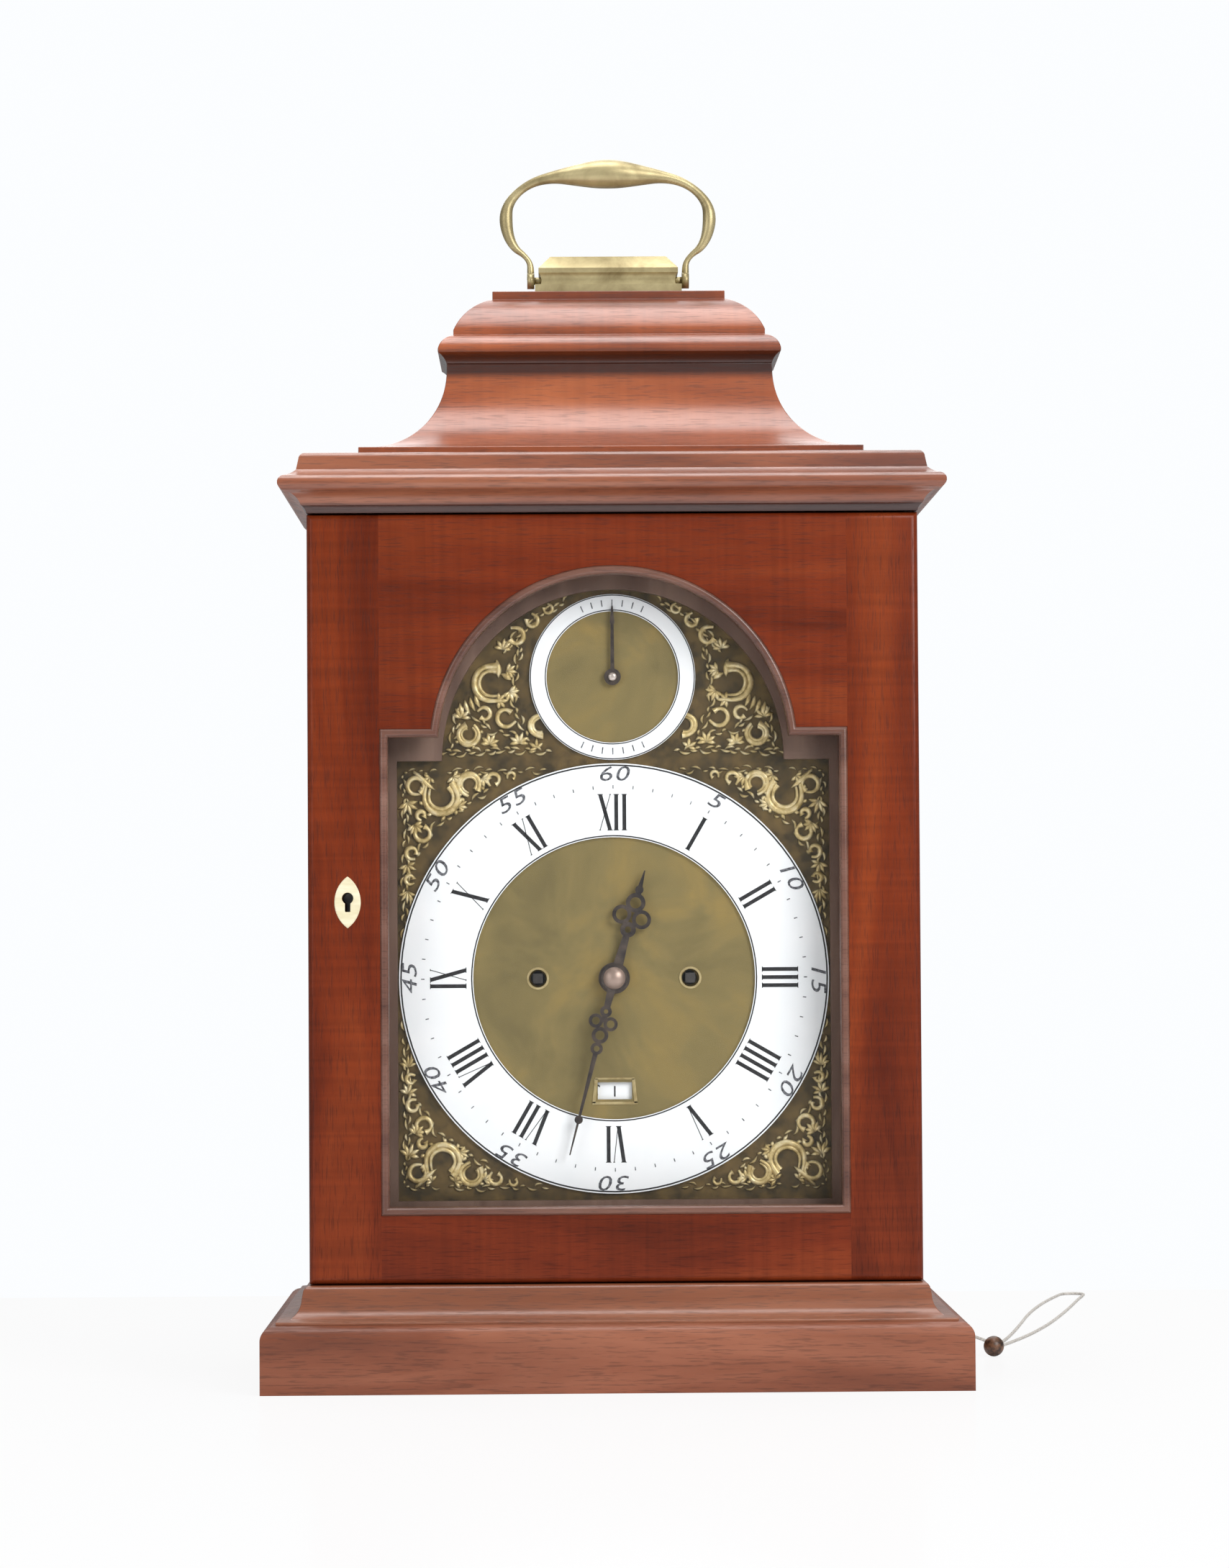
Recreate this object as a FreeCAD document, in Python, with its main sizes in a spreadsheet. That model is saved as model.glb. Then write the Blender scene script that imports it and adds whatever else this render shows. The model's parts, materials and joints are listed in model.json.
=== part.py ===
import FreeCAD, Part
import math
import os
import Sketcher

# Bell-top bracket clock with a break-arch dial, twin-fusee striking movement,
# strike/silent hand in the arch, carrying handle and pull-repeat cord.
# Millimetres and degrees. +X is to the viewer's right, the dial faces -Y, +Z is up, and the
# origin is the middle of the underside of the plinth.

SIZES = {
    # Case: box, boards and the gaps around the doors
    "case_w": 32.5, "case_d": 176, "side_t": 8, "gap": 0.3,
    "door_bottom": 0.5, "door_top": 24.5, "case_top": 0.5,
    # Plinth and the moulding above it, as projections from the case and heights
    "plinth_p": 19, "plinth_h": 27.5, "plinth_round": 6, "plinth_wall": 35, "floor_t": 10,
    "base_fillet": 1.1, "base_neck": 7.6, "base_top": 14.8,
    # Cornice
    "cornice_top": 24.5, "cornice_p": 11.1, "cornice_nose": 11.2, "cornice_wall": 31,
    "top_board_t": 10,
    # Bell top
    "bell_foot": 20.4, "bell_foot_h": 4.4, "bell_neck": 56, "bell_neck_top": 2.6,
    "bell_rim": 52.4, "bell_step": 58.8, "platform_in": 74, "platform_z": 29.2,
    "platform_h": 3.7, "bell_wall": 10,
    # Front door and its opening
    "door_t": 18, "door_round": 3, "open_w": 3.5, "open_bottom": 30.6, "open_shoulder": 8.5,
    "open_arch_z": 5.3, "open_arch_r": 71.3, "bead_w": 3.3, "bead_proud": 0.8,
    "bead_deep": 9, "bead_chamfer": 0.9, "glass_t": 2,
    # Door pins, lock and escutcheon
    "pin_r": 2, "pin_in": 8, "pivot_in": 3.4, "pivot_deep": 6, "run_gap": 0.05,
    "key_x": 16.1, "key_z": 31.5, "plate_w": 10.7, "plate_h": 21, "plate_proud": 0.3,
    "plate_let": 1.2, "keyhole_r": 2.3, "key_slot": 2.2, "key_drop": 5.5, "lock_w": 16,
    "lock_h": 30, "lock_let": 7, "lock_proud": 6, "bolt_t": 2.4, "bolt_h": 7.6,
    "bolt_throw": 4, "bolt_gap": 0.2, "mortise_room": 2.4, "mortise_deep": 4.8,
    # Sound openings in the sides
    "sound_w": 64, "sound_bottom": 34.7, "sound_spring": 72, "sound_y": 5, "fret_t": 1.5,
    "fret_pitch": 8, "fret_hole": 3.2, "fret_edge": 2.6,
    # Back door
    "back_t": 14, "back_pivot_in": 7, "back_pivot_deep": 4.5, "back_open_w": 168, "back_open_bottom": 37.2, "back_open_spring": 108,
    "back_rebate": 3, "catch_x": 16, "catch_z": 34.7, "catch_r": 3, "catch_arm": 19,
    "catch_arm_t": 3, "catch_arm_w": 8, "catch_knob_r": 8, "catch_knob_t": 3.6,
    # Handle and its brass block
    "block_w": 62, "block_d": 20, "block_h": 15.9, "handle_w": 85, "handle_top": 57.9,
    "bail_r": 2.4, "knop_r": 6.2, "knop_half": 17, "handle_pivot": 6, "ear_r": 3.4,
    "ear_t": 3, "trunnion_r": 1.6, "trunnion_in": 5,
    # Dial
    "dial_y": 7, "dial_t": 1.6, "dial_w": 1.5, "dial_bottom": 1.1, "dial_shoulder": 1.7,
    "dial_arch_r": 72, "dial_arch_z": 0.5, "mask_t": 5, "mask_edge": 1, "mask_over": 2,
    "centre_z": 2.8, "ring_r": 88, "ring_in": 30.3, "ring_t": 1.4, "strike_z": 3.8,
    "strike_r": 38, "strike_in": 7, "strike_t": 1.2, "date_z": 46.1, "date_w": 14,
    "date_h": 7, "wind_hole": 3.7, "foot_x": 14.5, "foot_low": 67.3, "foot_high": 66.7,
    "foot_r": 1.8, "spandrel_t": 1.6, "spandrel_gap": 1.5,
    # Movement frame
    "front_y": 13, "plate_t": 3, "between": 60, "plates_w": 125, "plates_h": 158,
    "seat_z": 77.3, "seat_t": 9, "seat_front": 5, "seat_back": 4, "pillar_r": 4,
    "pillar_x": 8.5, "pillar_low": 6, "pillar_high": 10, "bolt_r": 2.5, "bolt_head": 5,
    "bolt_head_t": 4,
    # Going and striking trains: modules, teeth and the lie of each arbor
    "great_m": 0.6, "great_teeth": 96, "great_leaves": 8, "strike_great_teeth": 84,
    "centre_m": 0.5, "centre_teeth": 84, "third_leaves": 7, "third_turn": 69,
    "third_m": 0.45, "third_teeth": 78, "escape_leaves": 7, "escape_turn": 115,
    "escape_teeth": 30, "escape_r": 14, "pin_turn": 96, "pin_m": 0.5, "pin_teeth": 56,
    "gather_leaves": 7, "gather_turn": 40, "gather_m": 0.4, "gather_teeth": 56,
    "fly_leaves": 7, "fly_turn": 120, "motion_m": 0.5, "cannon_teeth": 36,
    "minute_teeth": 48, "motion_leaves": 8, "hour_teeth": 72, "wheel_t": 1.8,
    "great_t": 2.5, "arbor_r": 1.2, "pivot_r": 0.7, "fusee_r": 17, "fusee_small": 9,
    "fusee_l": 26, "fusee_turns": 14, "groove": 0.5, "fusee_arbor": 2.9, "square": 4,
    "barrel_r": 20, "barrel_x": 34, "barrel_drop": 54.4, "barrel_l": 28, "pallet_z": 58.5,
    "pallet_gap": 1.1,
    # Motion work, hands and date
    "centre_arbor": 2, "cannon_r": 2.6, "pipe_r": 4, "hand_t": 1, "hour_y": 3,
    "minute_y": 5.6, "hour_len": 12, "minute_len": 13.7, "hour_turn": 16.2,
    "minute_turn": 194.5, "strike_len": 5, "collet_r": 4.6, "collet_t": 2.2,
    "date_in": 40, "date_out": 52, "date_t": 1, "date_teeth": 62,
    # Pendulum, bell and hammer
    "pendulum_y": 11, "bob_drop": 119.8, "bob_r": 19, "bob_t": 9, "rod_r": 1.5,
    "bell_x": -18, "bell_y": 3, "bell_z": 12, "bell_r": 36, "bell_h": 28, "bell_t": 2.2,
    "post_r": 2.2, "hammer_x": 6, "hammer_z": 34.7, "hammer_r": 3.5, "hammer_gap": 0.8,
    # Repeat lever, cord and bead
    "lever_x": 52, "lever_z": 15.3, "lever_l": 34, "cord_d": 1.4, "cord_hole": 1.6,
    "cord_y": 70, "cord_z": 9, "bead_r": 4.4, "bead_flat": 0.2,
}

doc = FreeCAD.newDocument("BracketClock")
sheet = doc.addObject("Spreadsheet::Sheet", "Sizes")
for row, (alias, number) in enumerate(SIZES.items(), start=1):
    sheet.set("A%d" % row, alias)
    sheet.set("B%d" % row, str(number))
    sheet.setAlias("B%d" % row, alias)
doc.recompute()


# A Dim is a length with its number and the spreadsheet expression that gives it, so that one
# formula places the first geometry and binds it to the sheet.
class Dim:
    def __init__(self, number, text):
        self.number = float(number)
        self.text = text

    def __add__(self, other):
        other = dim(other)
        return Dim(self.number + other.number, "(%s + %s)" % (self.text, other.text))

    def __sub__(self, other):
        other = dim(other)
        return Dim(self.number - other.number, "(%s - %s)" % (self.text, other.text))

    def __mul__(self, other):
        other = dim(other)
        return Dim(self.number * other.number, "(%s * %s)" % (self.text, other.text))

    def __truediv__(self, other):
        other = dim(other)
        return Dim(self.number / other.number, "(%s / %s)" % (self.text, other.text))

    def __radd__(self, other):
        return dim(other) + self

    def __rsub__(self, other):
        return dim(other) - self

    def __rmul__(self, other):
        return dim(other) * self

    def __neg__(self):
        return Dim(-self.number, "(0 - %s)" % self.text)


def dim(value):
    return value if isinstance(value, Dim) else Dim(value, "(%r)" % float(value))


def root(value):
    return Dim(math.sqrt(value.number), "sqrt(%s)" % value.text)


def cosine(turn):
    return Dim(math.cos(math.radians(turn.number)), "cos(%s * 1 deg)" % turn.text)


def sine(turn):
    return Dim(math.sin(math.radians(turn.number)), "sin(%s * 1 deg)" % turn.text)


class Named:
    """The sheet's sizes as attributes, each a Dim bound to its cell."""


D = Named()
for alias in SIZES:
    setattr(D, alias, Dim(sheet.get(alias), "Sizes." + alias))

# ---- Layout ----------------------------------------------------------------------------------
# Widths go out from the chapter ring, heights up from the plinth and depths back from the door,
# each from the piece that it fits, stands on or lines up with.
half_open = D.ring_r + D.open_w
half_dial = D.ring_r + D.dial_w
half_w = half_open + D.case_w
half_d = D.case_d / 2
inner_x = half_w - D.side_t
base_z = D.plinth_h + D.base_top
door_low = base_z + D.door_bottom
open_low = door_low + D.open_bottom
dial_low = open_low + D.dial_bottom
centre_z = dial_low + D.ring_r + D.centre_z
dial_high = centre_z + D.ring_r + D.dial_shoulder
dial_arch = dial_high - D.dial_arch_z
strike_out = D.dial_arch_r - D.strike_r
strike_z = dial_arch + D.dial_arch_r - D.strike_z - strike_out
open_high = dial_high + D.open_shoulder
open_arch = open_high - D.open_arch_z
door_high = open_arch + D.open_arch_r + D.door_top
case_high = door_high + D.case_top
cornice_high = case_high + D.cornice_top
cove_z = cornice_high + D.bell_foot_h
cove_r = D.bell_neck - D.bell_foot
neck_high = cove_z + cove_r + D.bell_neck_top
platform_low = neck_high + D.platform_z
platform_top = platform_low + D.platform_h
door_back = -half_d + D.door_t
case_front = door_back + D.gap
back_inner = half_d - D.back_t
dial_front = door_back + D.dial_y
dial_back = dial_front + D.dial_t
plate_front = dial_front + D.front_y
inside_front = plate_front + D.plate_t
inside_back = inside_front + D.between
back_face = inside_back + D.plate_t
seat_z = centre_z - D.seat_z
plates_z = (seat_z, seat_z + D.plates_h)
bell_low = plates_z[1] + D.bell_z
key_x, key_z = -(half_w - D.key_x), centre_z + D.key_z
catch_x, catch_z = inner_x - D.catch_x, centre_z + D.catch_z

# ---- Drawing helpers -------------------------------------------------------------------------
NODES = []
V = FreeCAD.Vector
PLANES = {"top": "XY_Plane", "front": "XZ_Plane", "side": "YZ_Plane"}
TURN_TO = {"X": FreeCAD.Rotation(V(0, 1, 0), 90), "Y": FreeCAD.Rotation(V(1, 0, 0), -90),
           "Z": FreeCAD.Rotation()}


def bind(obj, **sizes):
    """Binds properties to sizes; a double underscore stands for the dot of a sub-property."""
    for name, value in sizes.items():
        obj.setExpression(name.replace("__", "."), dim(value).text)


def place(obj, x=0, y=0, z=0):
    bind(obj, Placement__Base__x=x, Placement__Base__y=y, Placement__Base__z=z)
    return obj


def node(name, obj):
    """Names the object as one finished piece of the clock."""
    obj.Label = name
    NODES.append(obj)
    return obj


def block(name, x, y, z):
    obj = doc.addObject("Part::Box", name)
    bind(obj, Length=x[1] - dim(x[0]), Width=y[1] - dim(y[0]), Height=z[1] - dim(z[0]))
    return place(obj, x[0], y[0], z[0])


def rod(name, axis, centre, radius, span):
    """A cylinder along an axis; centre holds the other two coordinates in order."""
    obj = doc.addObject("Part::Cylinder", name)
    bind(obj, Radius=radius, Height=span[1] - dim(span[0]))
    obj.Placement = FreeCAD.Placement(V(), TURN_TO[axis])
    at = list(centre)
    at.insert("XYZ".index(axis), span[0])
    return place(obj, *at)


def joined(name, *parts):
    obj = doc.addObject("Part::MultiFuse", name)
    obj.Shapes = list(parts)
    return obj


def carved(name, base, *tools):
    obj = doc.addObject("Part::Cut", name)
    obj.Base = base
    obj.Tool = tools[0] if len(tools) == 1 else joined(name + "_tools", *tools)
    return obj


def shared(name, one, other):
    obj = doc.addObject("Part::Common", name)
    obj.Base = one
    obj.Tool = other
    return obj


def group(name, *parts):
    """Separate solids of one kind that make up one piece of the list."""
    obj = doc.addObject("Part::Compound", name)
    obj.Links = list(parts)
    return obj


def computed(name, shape):
    obj = doc.addObject("Part::Feature", name)
    obj.Shape = shape
    return obj


def draw(sketch, outline):
    """Draws one closed outline of (a, b) or (a, b, radius) vertices, or ("circle", a, b, r).

    A third value is the radius of the arc that arrives at the vertex: positive bulges to the
    right of the way round, so it is convex on an anticlockwise outline."""
    if outline[0] == "circle":
        a, b, radius = (dim(value) for value in outline[1:])
        index = sketch.addGeometry(Part.Circle(V(a.number, b.number, 0), V(0, 0, 1), radius.number))
        fix(sketch, Sketcher.Constraint("Radius", index, radius.number), radius)
        fix(sketch, Sketcher.Constraint("DistanceX", index, 3, a.number), a)
        fix(sketch, Sketcher.Constraint("DistanceY", index, 3, b.number), b)
        return
    ends = []
    for count, vertex in enumerate(outline):
        before = outline[count - 1]
        start = V(dim(before[0]).number, dim(before[1]).number, 0)
        finish = V(dim(vertex[0]).number, dim(vertex[1]).number, 0)
        if len(vertex) == 2:
            index = sketch.addGeometry(Part.LineSegment(start, finish))
            ends.append((index, 1, 2))
            continue
        radius = dim(vertex[2])
        chord = finish - start
        away = math.sqrt(max(radius.number ** 2 - (chord.Length / 2) ** 2, 0))
        left = V(-chord.y, chord.x, 0).normalize() * math.copysign(away, radius.number)
        centre = (start + finish) / 2 + left
        first, last = (start, finish) if radius.number > 0 else (finish, start)
        angles = [math.atan2(p.y - centre.y, p.x - centre.x) for p in (first, last)]
        circle = Part.Circle(centre, V(0, 0, 1), abs(radius.number))
        index = sketch.addGeometry(Part.ArcOfCircle(circle, angles[0], angles[1]))
        ends.append((index, 1, 2) if radius.number > 0 else (index, 2, 1))
        size = radius if radius.number > 0 else -radius
        fix(sketch, Sketcher.Constraint("Radius", index, size.number), size)
    for count, vertex in enumerate(outline):
        index, _, finish = ends[count]
        follower, begin, _ = ends[(count + 1) % len(ends)]
        sketch.addConstraint(Sketcher.Constraint("Coincident", index, finish, follower, begin))
        a, b = dim(vertex[0]), dim(vertex[1])
        fix(sketch, Sketcher.Constraint("DistanceX", index, finish, a.number), a)
        fix(sketch, Sketcher.Constraint("DistanceY", index, finish, b.number), b)


def fix(sketch, constraint, size):
    index = sketch.addConstraint(constraint)
    sketch.setExpression("Constraints[%d]" % index, size.text)


def sketched(name, view, outlines, offset=0):
    """A new body with a sketch on one of its own planes."""
    body = doc.addObject("PartDesign::Body", name)
    sketch = body.newObject("Sketcher::SketchObject", name + "_sketch")
    plane = [f for f in body.Origin.OriginFeatures if f.Role == PLANES[view]][0]
    sketch.AttachmentSupport = [(plane, "")]
    sketch.MapMode = "FlatFace"
    bind(sketch, AttachmentOffset__Base__z=offset)
    for outline in outlines:
        draw(sketch, outline)
    return body, sketch


def extruded(name, view, span, *outlines):
    """A plate or bar: outlines seen from the front (x, z), the side (y, z) or the top (x, y)."""
    low, high = dim(span[0]), dim(span[1])
    body, sketch = sketched(name, view, outlines, -high if view == "front" else low)
    pad = body.newObject("PartDesign::Pad", name + "_pad")
    pad.Profile = sketch
    bind(pad, Length=high - low)
    return body


def turned(name, axis, centre, outline):
    """A round piece: (radius, height) vertices about Y or Z, or (height, radius) about X."""
    body, sketch = sketched(name, "top" if axis == "Y" else "front", [outline])
    spin = body.newObject("PartDesign::Revolution", name + "_turn")
    spin.Profile = sketch
    spin.ReferenceAxis = (sketch, ["H_Axis" if axis == "X" else "V_Axis"])
    spin.Angle = 360
    at = list(centre)
    at.insert("XYZ".index(axis), 0)
    return place(body, *at)


def mirrored_up(half, profile):
    """The closed outline of a profile of (projection, height) points on both sides of x = 0."""
    right = [(half + vertex[0], *vertex[1:]) for vertex in profile]
    left = []
    for count in range(len(profile) - 1, -1, -1):
        arc = profile[count + 1][2:] if count + 1 < len(profile) else ()
        left.append((-(half + profile[count][0]), profile[count][1], *arc))
    return right + left


def mitred(name, half_x, half_y, profile):
    """One profile carried round all four sides of a rectangle, mitred at its corners."""
    reach = half_w * 2
    long = extruded(name + "_front", "front", (-reach, reach), mirrored_up(half_x, profile))
    cross = extruded(name + "_side", "side", (-reach, reach), mirrored_up(half_y, profile))
    return shared(name + "_mitred", long, cross)


def arched(half, bottom, shoulder, centre, radius):
    """A rectangle with square shoulders and a round arch rising between them."""
    out = root(radius * radius - (shoulder - centre) * (shoulder - centre))
    return [(-half, bottom), (half, bottom), (half, shoulder), (out, shoulder),
            (dim(0), centre + radius, radius), (-out, shoulder, radius), (-half, shoulder)]


def domed(middle, half, bottom, spring):
    """A round-headed opening whose arch is as wide as its sides."""
    middle = dim(middle)
    return [(middle - half, bottom), (middle + half, bottom), (middle + half, spring),
            (middle, spring + half, half), (middle - half, spring, half)]


def rounded_path(points):
    """Straight runs joined by tangent arcs, each as large as its two runs allow."""
    edges, radii, start = [], [], points[0]
    for before, corner, after in zip(points, points[1:], points[2:]):
        arriving, leaving = corner - before, after - corner
        short = 0.45 * min(arriving.Length, leaving.Length)
        arriving.normalize()
        leaving.normalize()
        half_turn = arriving.getAngle(leaving) / 2
        radii.append(short / math.tan(half_turn))
        entry, finish = corner - arriving * short, corner + leaving * short
        inward = (leaving - arriving).normalize()
        sag = radii[-1] * (1 / math.cos(half_turn) - 1)
        edges.append(Part.LineSegment(start, entry).toShape())
        edges.append(Part.Arc(entry, corner + inward * sag, finish).toShape())
        start = finish
    edges.append(Part.LineSegment(start, points[-1]).toShape())
    return Part.Wire(edges), radii


# ---- Case ------------------------------------------------------------------------------------
# The front door turns on pins let into the moulding below it and the cornice above it, the
# back door on two more. Each door's hinge edge is rounded about its pins, so it clears the case.
front_pin = (half_w - D.pivot_in, door_back - D.pivot_deep)
back_pin = (-(inner_x - D.gap - D.back_pivot_in), half_d - D.back_pivot_deep)
pin_rods = []
for tag, pin in (("front", front_pin), ("back", back_pin)):
    for end, span in (("low", (door_low - D.pin_in, door_low + D.pin_in)),
                      ("high", (door_high - D.pin_in, door_high + D.pin_in))):
        pin_rods.append(rod("pin_%s_%s" % (tag, end), "Z", pin, D.pin_r, span))
door_pins = node("door_pins", group("door_pins_group", *pin_rods))

# Plinth: a mitred frame with a rounded upper edge, and the floor board let into it.
plinth_profile = [(D.plinth_p, dim(0)), (D.plinth_p, D.plinth_h - D.plinth_round),
                  (D.plinth_p - D.plinth_round, D.plinth_h, D.plinth_round)]
floor_x = half_w + D.plinth_p - D.plinth_wall
floor_y = half_d + D.plinth_p - D.plinth_wall
plinth_well = block("plinth_well", (-floor_x, floor_x), (-floor_y, floor_y), (-1, D.plinth_h + 1))
cord_bore = rod("cord_bore", "X", (D.cord_y, D.cord_z), D.cord_hole,
                (floor_x - 1, half_w + D.plinth_p + 1))
node("base_plinth", carved("plinth_frame", mitred("plinth", half_w, half_d, plinth_profile),
                           plinth_well, cord_bore))
node("floor_board", block("floor", (-floor_x, floor_x), (-floor_y, floor_y),
                          (D.plinth_h - D.floor_t, D.plinth_h)))

# Moulding above the plinth. It sits outside the sides, and fills in below the two doors.
neck_z = D.plinth_h + D.base_fillet
base_profile = [(D.plinth_p - D.plinth_round, D.plinth_h),
                (D.plinth_p - D.plinth_round, neck_z),
                (D.base_neck, neck_z + 0.8), (dim(3), base_z - 5.3, dim(-9)),
                (dim(2.4), base_z - 2.1), (dim(0), base_z, dim(3))]
base_well = block("base_well", (-inner_x, inner_x), (case_front, back_inner - D.gap),
                  (0, case_high))
side_slots = [block("side_slot_" + side, span, (case_front, half_d), (0, case_high))
              for side, span in (("left", (-half_w, -inner_x)), ("right", (inner_x, half_w)))]
node("base_moulding", carved("base_frame", mitred("base", half_w, half_d, base_profile),
                             base_well, *side_slots, *pin_rods))

# Sides, with a round-headed sound opening in each and a pierced brass fret let into it.
sound_low = centre_z + D.sound_bottom
sound_high = sound_low + D.sound_spring
sound = domed(D.sound_y, D.sound_w / 2, sound_low, sound_high)
sound_cut = extruded("sound_cut", "side", (-half_w * 2, half_w * 2), sound)
side_z = (D.plinth_h, case_high)
side_y = (case_front, half_d)
lock_z = (key_z - D.lock_h / 2, key_z + D.lock_h / 2)
bolt_y = (door_back + D.lock_proud - 1.6 - D.bolt_t, door_back + D.lock_proud - 1.6)
bolt_z = (key_z - D.bolt_h / 2, key_z + D.bolt_h / 2)
mortise = block("bolt_mortise", (-inner_x - D.mortise_deep, -inner_x + 1),
                (bolt_y[0] - D.bolt_gap, bolt_y[1] + D.mortise_room),
                (bolt_z[0] - 1.5, bolt_z[1] + 1.5))
node("side_panel_left", carved("side_left_cut", block("side_left", (-half_w, -inner_x), side_y,
                                                      side_z), sound_cut, mortise))
catch_y = (back_inner - 0.6 - D.catch_arm_t, back_inner - 0.6)
catch_mortise = block("catch_mortise", (inner_x - 1, inner_x + D.mortise_deep),
                      (catch_y[0] - D.mortise_room / 2, catch_y[1] + D.mortise_room / 2),
                      (catch_z - D.catch_arm_w / 2 - 1.5, catch_z + D.catch_arm_w / 2 + 8.5))
node("side_panel_right", carved("side_right_cut", block("side_right", (inner_x, half_w), side_y,
                                                        side_z), sound_cut, catch_mortise))


def fret(side):
    """A brass plate drilled in staggered rows, filling one sound opening."""
    half, spring = D.sound_w.number / 2, sound_high.number
    bottom, middle = sound_low.number, D.sound_y.number
    pitch, hole = D.fret_pitch.number, D.fret_hole.number
    keep = hole + D.fret_edge.number
    x = side * (inner_x.number + D.side_t.number / 2) - D.fret_t.number / 2
    arc = Part.Arc(V(x, middle + half, spring), V(x, middle, spring + half),
                   V(x, middle - half, spring)).toShape()
    corners = [V(x, middle - half, spring), V(x, middle - half, bottom),
               V(x, middle + half, bottom), V(x, middle + half, spring)]
    sides = [Part.makeLine(a, b) for a, b in zip(corners, corners[1:])]
    wires = [Part.Wire(sides + [arc])]
    rise = pitch * math.sqrt(3) / 2
    for row in range(int((spring + half - bottom) / rise) + 1):
        z = bottom + keep + row * rise
        room = half - keep
        if z > spring:
            reach = (half - keep) ** 2 - (z - spring) ** 2
            room = math.sqrt(reach) if reach > 0 else -1
        shift = pitch / 2 if row % 2 else 0
        columns = int((room - shift) / pitch) if room >= shift else -1
        for column in range(-columns - (1 if shift else 0), columns + 1):
            y = middle + shift + column * pitch
            if room >= 0 and abs(y - middle) <= room:
                wires.append(Part.Wire(Part.makeCircle(hole, V(x, y, z), V(1, 0, 0))))
    return Part.Face(wires, "Part::FaceMakerBullseye").extrude(V(D.fret_t.number, 0, 0))


node("side_frets", computed("frets", Part.makeCompound([fret(-1), fret(1)])))

# Seat board across the case: the movement stands on it, and two bolts come up through it.
seat = block("seat_plank", (-inner_x, inner_x),
             (dial_front + D.seat_front, back_face + D.seat_back),
             (seat_z - D.seat_t, seat_z))

# Cornice: a cove, a rounded nose, a hollow back to a short fillet and a rounded top edge.
nose = case_high + D.cornice_nose
cornice_profile = [(dim(0), case_high), (dim(2), nose - 8.1, dim(-4)), (dim(2.7), nose - 6.5),
                   (D.cornice_p - 2.8, nose - 2.7, dim(-8)), (D.cornice_p, nose, dim(3.6)),
                   (D.cornice_p, nose + 1.1), (D.cornice_p - 2.3, nose + 3.6, dim(3.4)),
                   (dim(3.8), nose + 6.3, dim(-9)), (dim(2.9), cornice_high - 2.6),
                   (dim(0.3), cornice_high, dim(2.8))]
top_x = half_w + D.cornice_p - D.cornice_wall
top_y = half_d + D.cornice_p - D.cornice_wall
cornice_well = block("cornice_well", (-top_x, top_x), (-top_y, top_y),
                     (case_high - 1, cornice_high + 1))
node("cornice_moulding", carved("cornice_frame", mitred("cornice", half_w, half_d,
                                                        cornice_profile),
                                cornice_well, *pin_rods))
node("top_board", block("top_plank", (-top_x, top_x), (-top_y, top_y),
                        (cornice_high - D.top_board_t, cornice_high)))

# Bell top: a hollow-backed cove, and the two-tier moulding with its flat platform above.
cove_profile = [(-D.bell_foot, cornice_high), (-D.bell_foot, cove_z),
                (-D.bell_neck, cove_z + cove_r, -cove_r), (-D.bell_neck, neck_high)]
cove_x = half_w - D.bell_neck - D.bell_wall
cove_y = half_d - D.bell_neck - D.bell_wall
node("bell_cove", carved("cove_hollow", mitred("cove", half_w, half_d, cove_profile),
                         block("cove_well", (-cove_x, cove_x), (-cove_y, cove_y),
                               (cornice_high - 1, neck_high - D.bell_wall))))
tip_z = neck_high + 4.6
bell_profile = [(-D.bell_neck, neck_high), (-D.bell_rim, tip_z, dim(-7)),
                (-D.bell_rim, tip_z + 1.4), (-D.bell_step, tip_z + 7.8, dim(8)),
                (-D.bell_step, tip_z + 10), (-D.platform_in, platform_low, dim(26)),
                (-D.platform_in - 1, platform_low), (-D.platform_in - 1, platform_top)]
node("bell_moulding", mitred("bell_tier", half_w, half_d, bell_profile))

# Mask: the board behind the door that frames the dial and stands on the plinth.
mask_y = (dial_front - 0.2 - D.mask_t, dial_front - 0.2)
mask_window = arched(D.ring_r + D.mask_edge - 0.5, dial_low + 0.3, dial_high - 0.5,
                     dial_arch, D.dial_arch_r - D.mask_over)
mask_board = extruded("mask_board", "front", mask_y,
                      [(-inner_x, D.plinth_h), (inner_x, D.plinth_h), (inner_x, case_high),
                       (-inner_x, case_high)], mask_window)
lock_x = (-inner_x + 0.6, -inner_x + 0.6 + D.lock_w)
lock_room = block("lock_room", (-inner_x - 1, lock_x[1] + 2.4), (mask_y[0] - 1, mask_y[1] + 1),
                  (lock_z[0] - 4, lock_z[1] + 4))
node("dial_mask", carved("mask", mask_board, lock_room))

# ---- Front door ------------------------------------------------------------------------------
# A framed door: stiles the full height, a straight bottom rail and a top rail with the arch
# cut in it. The blank is rounded once and then parted, so the rounding meets at the corners.
turn_y = front_pin[1] + root(D.pivot_deep * D.pivot_deep - D.pivot_in * D.pivot_in)
blank = extruded("door_blank", "top", (door_low, door_high),
                 [(-half_w, -half_d), (half_w, -half_d), (half_w, turn_y),
                  (front_pin[0], door_back, D.pivot_deep), (-half_w, door_back)])
doc.recompute()


def eased(body, kind, y, **sizes):
    """Rounds or chamfers every edge of a body that lies wholly in the plane y."""
    solid = body.Tip
    found = []
    for count, edge in enumerate(solid.Shape.Edges, start=1):
        if all(abs(vertex.Point.y - y.number) < 1e-4 for vertex in edge.Vertexes):
            found.append("Edge%d" % count)
    easing = body.newObject(kind, body.Name + "_easing")
    easing.Base = (solid, found)
    bind(easing, **sizes)


eased(blank, "PartDesign::Fillet", -half_d, Radius=D.door_round)


def door_opening(grow):
    """The door's glazed opening, grown evenly on all its sides."""
    return arched(half_open + grow, open_low - grow, open_high + grow, open_arch,
                  D.open_arch_r + grow)


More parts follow.
